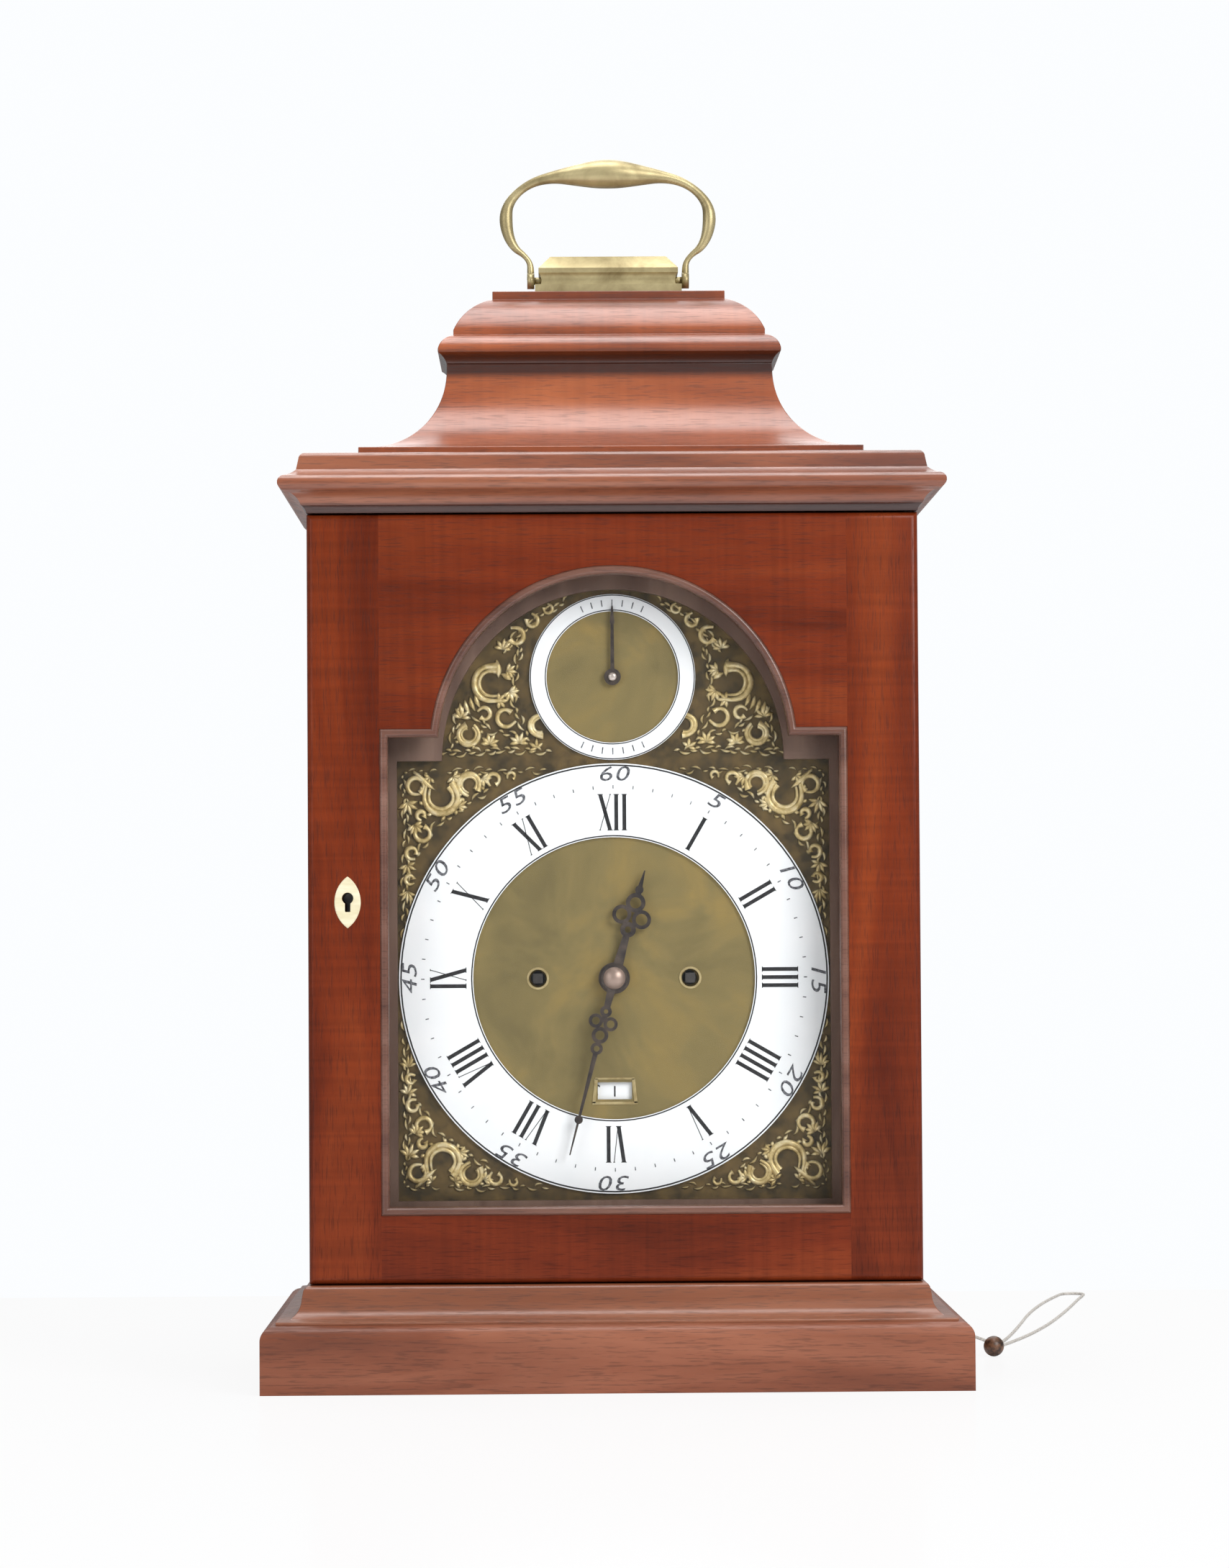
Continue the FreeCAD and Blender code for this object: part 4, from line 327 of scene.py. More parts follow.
plinth_wood = mahogany("plinth_mahogany", "X", (100, 54, 38), (132, 76, 54), (154, 96, 72),
                       polish=0.1)
moulding_wood = mahogany("moulding_mahogany", "X", (102, 54, 34), (138, 80, 52), (162, 104, 74),
                         at=(3, 1, 2), polish=0.7)
# Painted shade: the cornice and the bell top darken in a band at the foot of each moulding, where the undercuts
# under the cornice and under the bell's tier band fall in shadow.
cornice_wood = mahogany("cornice_mahogany", "X", (102, 52, 34), (138, 78, 52), (164, 102, 72),
                        at=(1, 5, 2), polish=0.8,
                        hollow=(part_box("cornice_moulding")[0].z + 0.001, 0.0035))
bell_wood = mahogany("bell_top_mahogany", "X", (112, 50, 24), (152, 76, 38), (172, 94, 52),
                     ripple=0.2, at=(2, 3, 7), polish=0.9,
                     hollow=(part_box("bell_moulding")[0].z - 0.0002, 0.0066))
side_wood = mahogany("side_mahogany", "Z", (78, 28, 12), (114, 46, 20), (136, 62, 28),
                     ripple=0.25, at=(5, 2, 1), polish=0.1, gloss=0.15)
dressed("base_plinth", "plinth", plinth_wood, 0.0005)
dressed("base_moulding", "base_run", moulding_wood, 0.0003)
dressed("cornice_moulding", "cornice", cornice_wood, 0.0003)
dressed("bell_cove", "cove", bell_wood, 0.0003)
dressed("bell_moulding", "bell_tiers", bell_wood, 0.0003)
for side in ("left", "right"):
    dressed("side_panel_" + side, side + "_side", side_wood, 0.0003)

# ---- Front door ------------------------------------------------------------------------------
# Veneered stiles with a plain vertical grain and a straight-grained arched head, rounded at the
# outer edge, with a thin moulded bead that holds the glass.
stile_wood = mahogany("stile_mahogany", "Z", (84, 26, 8), (120, 46, 17), (142, 62, 26),
                      ripple=0.4, at=(0, 0, 4), polish=0.06, gloss=0.15)
rail_wood = mahogany("rail_mahogany", "X", (84, 28, 10), (116, 44, 18), (134, 58, 26),
                     ripple=0.35, at=(6, 0, 0), polish=0.06, gloss=0.15)
# The bead's greyish pink is mahogany with a painted highlight: the sheen along its rounded polished edge.
bead_wood_and_sheen = mahogany("bead_mahogany_and_sheen", "X", (74, 42, 32), (112, 74, 60), (136, 100, 86),
                     at=(2, 2, 2), polish=0.5)
for side in ("left", "right"):
    dressed("door_stile_" + side, "stile_" + side, stile_wood)
dressed("door_rail_top", "arched_head", rail_wood)
dressed("door_rail_bottom", "bottom_rail", rail_wood)
dressed("door_bead", "glass_bead", bead_wood_and_sheen, 0.0003)

# The pane is plain thin glass. Only its sheen is seen from the front.
pane = Finish("window_glass", (150, 160, 158), rough=0.04)
sheen = pane.node("LayerWeight")
flaws = pane.noise((14, 14, 14), 2, 0.5)
pane.rough(pane.ramp(flaws, (0.3, 0.03), (0.8, 0.07)))
pane_alpha = pane.node("MapRange")
pane_alpha.inputs["From Min"].default_value = 0.35
pane_alpha.inputs["To Min"].default_value = 0.015
pane_alpha.inputs["To Max"].default_value = 0.7
pane.link(sheen.outputs["Facing"], pane_alpha.inputs["Value"])
pane.link(pane_alpha.outputs["Result"], pane.shader.inputs["Alpha"])
pane.set("Specular IOR Level", 0.8)
painted("door_glass", pane.material)
painted("back_door_glass", pane.material)

# Lock: the lozenge escutcheon is bone, let into the left stile round the keyhole. The lock's
# brass case is let into the back of the stile, and its steel bolt slides into the case side.
bone = Finish("bone", (232, 220, 184), rough=0.42)
bone.colour(bone.ramp(bone.noise((60, 60, 400), 4), (0.3, (214, 198, 156)), (0.7, (240, 230, 200))))
bone.set("Subsurface Weight", 0.08)
dressed("keyhole_escutcheon", "escutcheon", bone.material, 0.0003)


def aged_metal(name, dark, light, rough, metal, cells=60):
    """Cast or turned metal, clouded by handling, with a fine scratched skin."""
    made = Finish(name, light, metal=metal)
    cloud = made.noise((cells, cells, cells), 6, 0.6, 0.5)
    made.colour(made.ramp(cloud, (0.3, dark), (0.68, light)))
    made.rough(made.ramp(cloud, (0.25, rough + 0.18), (0.75, rough)))
    made.bump(made.noise((2600, 2600, 900), 3), 0.00002, 0.5)
    return made.material


brass = aged_metal("movement_brass", (128, 100, 52), (196, 164, 96), 0.3, 0.9)
steel = aged_metal("polished_steel", (96, 98, 102), (168, 170, 174), 0.25, 0.9)
painted("lock_case", brass)
painted("lock_bolt", steel)
painted("door_pins", steel)

# ---- Inside of the case ------------------------------------------------------------------------
# Oak boards: the floor, the seat board that carries the movement, the top, and the mask that
# frames the dial, which is stained dark where it shows behind the glass.


def oak(name, along, dark, light):
    """Plain oak with its grain along one axis."""
    wood = Finish(name, light, rough=0.6)
    cells = [60, 60, 60]
    cells["XYZ".index(along)] = 6
    wood.colour(wood.ramp(wood.noise(cells, 6, 0.6, 0.5), (0.3, dark), (0.7, light)))
    wood.bump(wood.noise([c * 12 for c in cells], 3), 0.0001, 0.5)
    return wood.material


inner_oak = oak("oak_board", "X", (104, 74, 46), (156, 118, 78))
mask_stain = oak("stained_mask", "Z", (84, 58, 46), (130, 102, 86))
for board in ("floor_board", "seat_board", "top_board"):
    painted(board, inner_oak)
painted("dial_mask", mask_stain)
painted("side_frets", aged_metal("fret_brass", (120, 92, 46), (186, 152, 84), 0.35, 0.85))

# ---- Dial plate --------------------------------------------------------------------------------
# Sheet brass, matted by hand inside the rings and darkened by age to olive and bronze.
dial_y = -0.063
centre_z, strike_z = 0.1653, 0.2887
ring_edge, strike_edge = 0.0868, 0.0335
dial_brass = Finish("matted_dial_brass", (132, 116, 72), metal=0.4)
tarnish = dial_brass.noise((22, 22, 22), 5, 0.6, 0.8)
dial_colour = dial_brass.ramp(tarnish, (0.28, (112, 100, 62)), (0.5, (136, 120, 74)),
                              (0.66, (158, 134, 76)), (0.85, (166, 116, 64)))
# The ground between the castings, outside the chapter ring and the strike ring, is painted dark
# and mottled: painted shade in the gaps between the scrolls.
place = dial_brass.node("SeparateXYZ")
dial_brass.link(dial_brass.coordinates, place.inputs["Vector"])
outside = []
for middle, reach in ((centre_z, ring_edge), (strike_z, strike_edge)):
    spot = dial_brass.node("CombineXYZ")
    dial_brass.link(place.outputs["X"], spot.inputs["X"])
    dial_brass.link(place.outputs["Z"], spot.inputs["Z"])
    away = dial_brass.node("VectorMath", operation="DISTANCE")
    away.inputs[1].default_value = (0, 0, middle)
    dial_brass.link(spot.outputs["Vector"], away.inputs[0])
    past = dial_brass.node("Math", operation="GREATER_THAN")
    past.inputs[1].default_value = reach
    dial_brass.link(away.outputs["Value"], past.inputs[0])
    outside.append(past.outputs[0])
ground = dial_brass.node("Math", operation="MULTIPLY")
dial_brass.link(outside[0], ground.inputs[0])
dial_brass.link(outside[1], ground.inputs[1])
gap_shade = dial_brass.ramp(dial_brass.noise((150, 150, 150), 4), (0.35, (62, 50, 28)),
                       (0.7, (112, 90, 50)))
dial_brass.colour(dial_brass.mixed("MIX", ground.outputs[0], dial_colour, gap_shade))
dial_brass.rough(dial_brass.ramp(tarnish, (0.3, 0.52), (0.7, 0.38)))
dial_brass.bump(dial_brass.noise((3200, 3200, 3200), 2), 0.00004, 0.9)
painted("dial_plate", dial_brass.material)

# Chapter ring and strike ring: brass, silvered and lacquered white, with wax-filled numerals.
silvering = Finish("silvered_ring", (242, 245, 246), rough=0.4)
silvering.colour(silvering.ramp(silvering.noise((40, 40, 40), 5, 0.6),
                                (0.3, (244, 248, 250)), (0.7, (252, 254, 255))))
silvering.rough(silvering.ramp(silvering.noise((300, 300, 300), 3), (0.3, 0.45), (0.7, 0.3)))
silvering.bump(silvering.noise((900, 900, 900), 3), 0.00002, 0.4)
painted("chapter_ring", silvering.material)
painted("strike_ring", silvering.material)

wax = Finish("black_wax", (24, 23, 26), rough=0.35)
wax.colour(wax.ramp(wax.noise((500, 500, 500), 3), (0.35, (18, 17, 20)), (0.8, (52, 50, 54))))
wax_thick = 0.00006
ring_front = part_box("chapter_ring")[0].y
strike_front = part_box("strike_ring")[0].y
NUMERALS = ("XII", "I", "II", "III", "IIII", "V", "VI", "VII", "VIII", "IX", "X", "XI")
# Each letter in millimetres: how far it moves the next one on, and its strokes as their start
# and end (across, share of the height) and their width.
LETTERS = {"I": (3.3, ((0, 0, 0, 1, 1.55),)),
           "V": (5.4, ((-1.9, 1, 0.2, 0, 1.55), (2.1, 1, 0.5, 0, 0.3))),
           "X": (5.8, ((-2.0, 1, 2.0, 0, 1.55), (2.1, 1, -2.1, 0, 0.3)))}
numeral_foot, numeral_high, serif_high = 0.0606, 0.0146, 0.0003


def new_piece(name, mesh, material, body):
    """Puts a finished mesh into the clock, on the body that carries it."""
    mesh.materials.clear()
    mesh.materials.append(material)
    made = bpy.data.objects.new(name, mesh)
    bpy.context.scene.collection.objects.link(made)
    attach(made, body)
    return made


def bar(shape, start, finish, width, front, thick=wax_thick):
    """A thin flat bar from one (x, z) place to another, standing on the plane y = front."""
    start, finish = Vector(start), Vector(finish)
    run = finish - start
    box = bmesh.ops.create_cube(shape, size=1)["verts"]
    bmesh.ops.scale(shape, vec=(run.length, thick, width), verts=box)
    bmesh.ops.translate(shape, vec=(run.length / 2, 0, 0), verts=box)
    bmesh.ops.rotate(shape, matrix=Matrix.Rotation(-math.atan2(run.y, run.x), 3, "Y"), verts=box)
    bmesh.ops.translate(shape, vec=(start.x, front - thick / 2, start.y), verts=box)
    return box


def finished_mesh(shape, name):
    """Closes a bmesh into a mesh whose faces point outwards."""
    bmesh.ops.recalc_face_normals(shape, faces=shape.faces)
    mesh = bpy.data.meshes.new(name)
    shape.to_mesh(mesh)
    shape.free()
    return mesh


def about_dial(shape, verts, turn, centre=centre_z):
    """Turns verts clockwise, seen from the front, about a point on the dial's middle line."""
    bmesh.ops.rotate(shape, matrix=Matrix.Rotation(math.radians(turn), 3, "Y"),
                     cent=(0, 0, centre), verts=verts)


hours = bmesh.new()
for hour, word in enumerate(NUMERALS):
    wide = sum(LETTERS[letter][0] for letter in word)
    left = -wide / 2
    drawn = []
    for letter in word:
        advance, strokes = LETTERS[letter]
        middle = left + advance / 2
        for x0, z0, x1, z1, width in strokes:
            ends = [((middle + x) / 1000, centre_z + numeral_foot + z * numeral_high)
                    for x, z in ((x0, z0), (x1, z1))]
            drawn += bar(hours, ends[0], ends[1], width / 1000, ring_front)
            for x, z in ends:
                half = 0.0002 + width / 1700
                drawn += bar(hours, (x - half, z), (x + half, z), serif_high, ring_front)
        left += advance
    about_dial(hours, drawn, hour * 30)
new_piece("hour_numerals", finished_mesh(hours, "hour_numerals"), wax.material, "case")


def number(text, height, slant):
    """The outline of a number in the built-in face, as a mesh centred on the origin in x, y."""
    written = bpy.data.curves.new("number", "FONT")
    written.body = text
    written.size = height * 1.4
    written.space_character = 1.1
    written.shear = slant
    written.extrude = wax_thick / 2
    written.resolution_u = 3
    written.align_x = "CENTER"
    written.align_y = "CENTER"
    holder = bpy.data.objects.new("number", written)
    mesh = bpy.data.meshes.new_from_object(holder)
    bpy.data.objects.remove(holder)
    return mesh


def set_round(name, numbers, radius, height, wide, front, slant, material, body):
    """Numbers set round the dial, each upright on its own radius and drawn wide times as broad."""
    whole = bmesh.new()
    upright = Matrix.Rotation(math.radians(90), 4, "X")
    for text, turn in numbers:
        mesh = number(text, height, slant)
        mesh.transform(Matrix.Diagonal((wide, 1, 1, 1)))
        mesh.transform(Matrix.Translation((0, front - wax_thick / 2, centre_z + radius)) @ upright)
        mesh.transform(Matrix.Translation((0, 0, centre_z))
                       @ Matrix.Rotation(math.radians(turn), 4, "Y")
                       @ Matrix.Translation((0, 0, -centre_z)))
        whole.from_mesh(mesh)
        bpy.data.meshes.remove(mesh)
    new_piece(name, finished_mesh(whole, name), material, body)


faint_wax = Finish("worn_wax", (70, 70, 76), rough=0.4)
faint_wax.colour(faint_wax.ramp(faint_wax.noise((900, 900, 900), 3), (0.4, (42, 42, 48)),
                                (0.65, (132, 134, 140))))
minute_radius, minute_high = 0.0834, 0.0062
set_round("minute_numerals", [(str(count * 5), count * 30) for count in range(1, 13)],
          minute_radius, minute_high, 1.4, ring_front, 0.2, faint_wax.material, "case")
ticks = bmesh.new()
tick_low, tick_high, tick_wide = 0.0776, 0.0790, 0.0004
for minute in range(60):
    mark = bar(ticks, (0, centre_z + tick_low), (0, centre_z + tick_high), tick_wide, ring_front)
    about_dial(ticks, mark, minute * 6)
# Plain marks stand at the top and the foot of the strike ring.
strike_low, strike_high, strike_wide = 0.0291, 0.0318, 0.00045
for turn in (*range(-24, 25, 8), *range(156, 205, 8)):
    mark = bar(ticks, (0, strike_z + strike_low), (0, strike_z + strike_high), strike_wide,
               strike_front)
    about_dial(ticks, mark, turn, strike_z)
new_piece("minute_marks", finished_mesh(ticks, "minute_marks"), faint_wax.material, "case")


def hoop(name, radius, wide, centre, front, thick, material):
    """A flat hoop round a centre on the dial, spun from one square of section."""
    shape = bmesh.new()
    bmesh.ops.create_circle(shape, segments=4, radius=math.sqrt(0.5),
                            matrix=Matrix.Rotation(math.radians(45), 4, "Z"))
    bmesh.ops.scale(shape, vec=(wide, thick, 1), verts=shape.verts)
    bmesh.ops.translate(shape, vec=(radius, front - thick / 2, centre), verts=shape.verts)
    bmesh.ops.spin(shape, geom=list(shape.verts) + list(shape.edges), cent=(0, 0, centre),
                   axis=(0, 1, 0), angle=math.tau, steps=96, use_merge=True)
    return new_piece(name, finished_mesh(shape, name), material, "case")


line_thick = 0.0001
for line, radius, wide, centre, front in (
        ("chapter_outer_line", 0.0872, 0.0006, centre_z, ring_front),
        ("chapter_inner_line", 0.0583, 0.0005, centre_z, ring_front),
        ("strike_outer_line", 0.0336, 0.0004, strike_z, strike_front),
        ("strike_inner_line", 0.0275, 0.0004, strike_z, strike_front)):
    hoop(line, radius, wide, centre, front, line_thick, wax.material)

# ---- Spandrels ---------------------------------------------------------------------------------
# Gilt brass castings of C-scrolls and leaf sprays, pierced so the dial shows between them. They
# are pinned from behind in the four corners and on both sides of the strike ring.
gilt = Finish("gilt_casting", (206, 184, 128), metal=0.35)
worn = gilt.noise((260, 260, 260), 5, 0.6, 0.4)
gilt_colour = gilt.ramp(worn, (0.3, (164, 140, 84)), (0.5, (212, 190, 134)), (0.7, (240, 226, 184)))
# Painted shade: the castings darken where they sink towards the dial plate, in the recesses between and under
# the scrolls.
depth = gilt.node("SeparateXYZ")
gilt.link(gilt.coordinates, depth.inputs["Vector"])
recess_shade = gilt.node("MapRange")
recess_shade.inputs["From Min"].default_value = dial_y - 0.0010
recess_shade.inputs["From Max"].default_value = dial_y - 0.0003
gilt.link(depth.outputs["Y"], recess_shade.inputs["Value"])
gilt.colour(gilt.mixed("MIX", recess_shade.outputs["Result"], gilt_colour, (66, 52, 28)))
gilt.rough(gilt.ramp(worn, (0.3, 0.45), (0.7, 0.28)))
gilt.bump(gilt.noise((1400, 1400, 1400), 4), 0.00006, 0.7)


def volute(middle, reach, start, finish, shrink, thick):
    """A C-scroll: a spiral about a middle that closes from reach to shrink times reach."""
    points = []
    steps = max(5, int(abs(finish - start) / 34))
    for count in range(steps + 1):
        share = count / steps
        angle = math.radians(start + (finish - start) * share)
        radius = reach * (1 + (shrink - 1) * share)
        body = thick * (0.45 + 0.6 * math.sin(math.pi * min(1, 0.12 + share * 0.8)))
        points.append((middle[0] + radius * math.cos(angle), middle[1] + radius * math.sin(angle),
                       body))
    points[-1] = (*points[-1][:2], thick * 1.3)
    return points


def leaf(foot, heading, long, thick, curl=25):
    """A leaf: a short curved stroke, thin at its foot and its tip."""
    points = []
    for share, body in ((0, 0.3), (0.3, 0.9), (0.6, 1.0), (0.85, 0.6), (1, 0.15)):
        angle = math.radians(heading + curl * share)
        points.append((foot[0] + long * share * math.cos(angle),
                       foot[1] + long * share * math.sin(angle), thick * body))
    return points


def spray(foot, heading, spread, count, long, thick):
    """A fan of leaves from one foot, the middle ones longest."""
    leaves = []
    for index in range(count):
        share = index / (count - 1) - 0.5
        leaves.append(leaf(foot, heading + spread * share, long * (1 - 0.9 * share * share),
                           thick, curl=40 * share))
    return leaves


def garland(path, count, long, thick):
    """Leaves strewn along a path, turned out to its two sides in turn."""
    drawn = []
    for index in range(count):
        share = index / (count - 1) * (len(path) - 1)
        first = min(int(share), len(path) - 2)
        start, end = Vector(path[first]), Vector(path[first + 1])
        foot = start.lerp(end, share - first)
        heading = math.degrees(math.atan2(end.y - start.y, end.x - start.x))
        side = (34 + 22 * (index % 3)) * (-1 if index % 2 else 1)
        drawn.append(leaf(foot, heading + side, long * (0.75 + 0.2 * (index * 7 % 4)), thick,
                          -0.8 * side))
    return drawn


def rocaille(middle, reach, start, finish, thick, nibs=0, long=2.2):
    """A ribbed C-scroll of two strokes, with a crest of short leaves along its outer edge."""
    drawn = [volute(middle, reach, start, finish, 0.9, thick),
             volute(middle, reach * 0.74, start, finish, 0.85, thick * 0.75)]
    for index in range(nibs):
        heading = start + (finish - start) * (index + 0.5) / nibs
        angle = math.radians(heading)
        foot = (middle[0] + reach * math.cos(angle), middle[1] + reach * math.sin(angle))
        drawn.append(leaf(foot, heading + 25, long, thick * 0.7, 30))
    return drawn


def scrollwork(name, lines, places, replaced):
    """Casts the same scrolls once for each place, a function from (across, down) to (x, z)."""
    drawn = bpy.data.curves.new(name, "CURVE")
    drawn.dimensions = "3D"
    drawn.bevel_depth = 0.00125
    drawn.bevel_resolution = 1
    drawn.use_fill_caps = True
    for place in places:
        for points in lines:
            line = drawn.splines.new("NURBS")
            line.points.add(len(points) - 1)
            for spot, (across, down, thick) in zip(line.points, points):
                x, z = place(across, down)
                spot.co = (x / 1000, dial_y - 0.0002, z / 1000, 1)
                spot.radius = thick
            line.order_u = 3
            line.use_endpoint_u = True
            line.resolution_u = 3
    holder = bpy.data.objects.new(name, drawn)
    mesh = bpy.data.meshes.new_from_object(holder)
    bpy.data.objects.remove(holder)
    for face in mesh.polygons:
        face.use_smooth = True
    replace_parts(new_piece(name, mesh, gilt.material, "case"), replaced)


# Corner scrolls, measured in millimetres across and down from the corner of the dial.
corner_lines = [
    *rocaille((16.9, 11.6), 7.8, 215, -55, 1.1, 7, 2.6),
    *rocaille((28.4, 6.6), 4.9, 95, 400, 0.95, 5),
    volute((6.4, 7.2), 3.7, 60, 420, 0.9, 0.9), leaf((5.4, 0.9), 50, 12, 1.1, -8),
    volute((9.2, 26.6), 3.6, 250, -80, 0.8, 0.9), volute((8.6, 19.2), 2.2, 90, 400, 0.6, 0.9),
    volute((4.6, 34.6), 2.8, 60, 380, 0.7, 0.85), volute((3.8, 45.4), 2.3, 40, 360, 0.65, 0.8),
    volute((38.4, 4.8), 3.0, 120, 430, 0.7, 0.8), volute((45.6, 3.4), 1.9, 150, 420, 0.7, 0.65),
    *garland([(2.2, 12), (2.4, 24), (1.9, 38), (1.9, 52), (1.4, 68)], 24, 4.2, 0.6),
    *garland([(19, 1.5), (30, 1.1), (42, 1.5), (57, 1.1)], 16, 3.4, 0.5),
    *garland([(6.4, 36), (9.6, 30.6), (14.6, 23.6), (21, 19), (27, 14.6), (34, 10.4)],
             16, 3.4, 0.6),
    *garland([(1.3, 1.4), (6, 1.1), (12, 1.6)], 6, 2.6, 0.5),
    *garland([(1.2, 2.5), (1.1, 7), (1.6, 12)], 6, 2.6, 0.5),
    *spray((2.6, 13.8), 70, 110, 5, 6, 0.85), *spray((5.4, 23), 60, 120, 6, 5.0, 0.85),
    *spray((21.5, 3.4), 40, 150, 5, 4.6, 0.8), *spray((23.6, 15.6), 330, 120, 5, 4.5, 0.75),
    *spray((33.5, 4), 40, 120, 5, 4.6, 0.75), *spray((12.2, 3.6), 130, 120, 4, 4, 0.75),
    *spray((2.4, 39.4), 70, 130, 5, 5, 0.75), *spray((2.6, 50.2), 90, 90, 5, 5.5, 0.7),
]
edge_x, edge_top = 87.2, 251.6
edge_low = 2 * 165.3 - edge_top


def corner(side, up):
    """The way from the corner scrolls' own millimetres to one corner of the dial."""
    high = edge_top if up > 0 else edge_low
    return lambda across, down: (side * (edge_x - across), high - up * down)


scrollwork("corner_scrolls", corner_lines,
           [corner(side, up) for side in (-1, 1) for up in (1, -1)], "corner_spandrels")
# Arch scrolls, measured across from the dial's middle line and up from the arch's foot.
arch_foot = 256.6
arch_lines = [
    *rocaille((49.4, 30), 8.2, -118, 112, 1.1, 0), *rocaille((59.2, 8.8), 4.6, 120, 440, 1.0, 4),
    *rocaille((29.6, 12.2), 4.8, 95, -105, 0.95, 0), volute((39.6, 49), 4.0, 60, 330, 0.7, 0.95),
    volute((33, 55.4), 3.0, 90, 380, 0.7, 0.85), volute((43.8, 15.8), 4.4, 200, 500, 0.7, 0.9),
    volute((26.4, 60.2), 2.2, 90, 380, 0.7, 0.7), volute((52.6, 17.2), 3.0, 20, 320, 0.7, 0.85),
    leaf((47.6, 39.4), 250, 7.5, 1.2, 14), leaf((45.6, 33.6), 200, 5, 1.1, 12),
    *[leaf((54.2 + 2.1 * step, 19.6 - 1.2 * step), 52, 6.5, 0.9, 18) for step in range(4)],
    *garland([(25, 1.6), (40, 2.6), (54, 1.8), (68, 1.6)], 22, 3.8, 0.6),
    *garland([(66.6, 3), (65, 10), (63, 17)], 8, 3.8, 0.6),
    *garland([(45, 42), (42.6, 46), (36, 52), (28.6, 58.4), (20, 63)], 18, 3.6, 0.6),
    *garland([(35, 8), (39.6, 18), (40.4, 27), (39.4, 37), (38, 44)], 18, 3.6, 0.6),
    *garland([(34, 6), (42, 8.6), (50, 10.6), (54, 14)], 10, 3.6, 0.6),
    *spray((62.2, 15.4), 100, 120, 5, 5.4, 0.8), *spray((42.4, 26.4), 230, 150, 6, 5, 0.85),
    *spray((43.4, 35), 190, 120, 5, 4.6, 0.8), *spray((45, 43.6), 100, 130, 5, 5, 0.8),
    *spray((50.6, 4.6), 100, 150, 6, 5, 0.85), *spray((38.4, 5), 90, 150, 6, 5.2, 0.8),
    *spray((31, 3), 60, 120, 4, 4.4, 0.75), *spray((47, 22.6), 180, 140, 5, 4.6, 0.8),
]
scrollwork("arch_scrolls", arch_lines,
           [lambda across, up: (-across, arch_foot + up),
            lambda across, up: (across, arch_foot + up)], "arch_spandrels")

# ---- Hands and date ----------------------------------------------------------------------------
# Pierced steel hands, blued and gone brown, with brass collets over them, their domes painted
# pale as a highlight. The date shows through a framed opening, from a silvered ring behind
# the dial.
bluing = Finish("blued_steel", (56, 52, 54), metal=0.6)
hand_tone = bluing.ramp(bluing.noise((200, 200, 200), 4), (0.3, (46, 42, 46)), (0.7, (98, 86, 78)))
hand_place = bluing.node("SeparateXYZ")
bluing.link(bluing.coordinates, hand_place.inputs["Vector"])
# Painted highlight: the hands' fronts, where the collets' domes stand, take a pale pinkish grey.
hub_highlight = bluing.node("Math", operation="LESS_THAN")
hub_highlight.inputs[1].default_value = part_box("minute_hand")[0].y + 0.0021
bluing.link(hand_place.outputs["Y"], hub_highlight.inputs[0])
bluing.colour(bluing.mixed("MIX", hub_highlight.outputs[0], hand_tone, (168, 146, 134)))
bluing.rough(bluing.ramp(bluing.noise((90, 90, 90), 3), (0.3, 0.42), (0.7, 0.28)))
for hand in ("hour_hand", "minute_hand", "strike_hand"):
    painted(hand, bluing.material)

# The strike hand's domed collet, near white all over: a painted highlight on its dome.
collet = bmesh.new()
bmesh.ops.create_uvsphere(collet, u_segments=24, v_segments=12, radius=0.0017)
bmesh.ops.scale(collet, vec=(1, 0.5, 1), verts=collet.verts)
bmesh.ops.translate(collet, vec=(0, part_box("strike_hand")[0].y, strike_z), verts=collet.verts)
for face in collet.faces:
    face.smooth = True
collet_highlight = aged_metal("collet_highlight", (176, 160, 150), (222, 212, 204), 0.2, 0.5)
new_piece("strike_hand_collet", finished_mesh(collet, "strike_hand_collet"), collet_highlight,
          "strike_hand")

painted("date_ring", silvering.material)
date_radius, date_high = 0.0461, 0.0046
set_round("date_numerals", [(str(day), 180 + (1 - day) * 360 / 31) for day in range(1, 32)],
          date_radius, date_high, 1.0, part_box("date_ring")[0].y, 0.0, wax.material, "date_ring")
# Engraved frame of the date opening, and the turned eyelets of the two winding holes.
date_frame = bmesh.new()
frame_low, frame_high, frame_thick = 0.1142, 0.1242, 0.0003
for start, finish, wide in (((-0.0076, frame_high), (-0.0086, frame_low), 0.0013),
                            ((0.0076, frame_high), (0.0086, frame_low), 0.0013),
                            ((-0.0092, frame_low), (0.0092, frame_low), 0.0011),
                            ((-0.0080, frame_high), (0.0080, frame_high), 0.0008)):
    bar(date_frame, start, finish, wide, dial_y, frame_thick)
bright = aged_metal("bright_brass", (150, 130, 84), (206, 188, 140), 0.35, 0.6, cells=200)
new_piece("date_frame", finished_mesh(date_frame, "date_frame"), bright, "case")
hole_x, eyelet_radius, eyelet_wide, eyelet_thick = 0.0312, 0.0041, 0.0009, 0.0004
for side, tag in ((-1, "left"), (1, "right")):
    eyelet = hoop("winding_eyelet_" + tag, eyelet_radius, eyelet_wide, centre_z, dial_y,
                  eyelet_thick, bright)
    eyelet.data.transform(Matrix.Translation((side * hole_x, 0, 0)))

# ---- Movement, bell and back door --------------------------------------------------------------
# Brass plates, wheels and barrels with steel arbors, a bell of paler metal above them, and the
# glazed back door through which they are seen.
for part in ("movement_front_plate", "movement_back_plate", "seat_bolts", "going_barrel",
             "strike_barrel", "third_wheel", "escape_wheel", "centre_arbor", "hour_wheel",
             "minute_wheel", "pin_wheel", "gathering_wheel", "fly", "pendulum_cock", "bell_stand",
             "pendulum", "back_catch"):
    painted(part, brass)
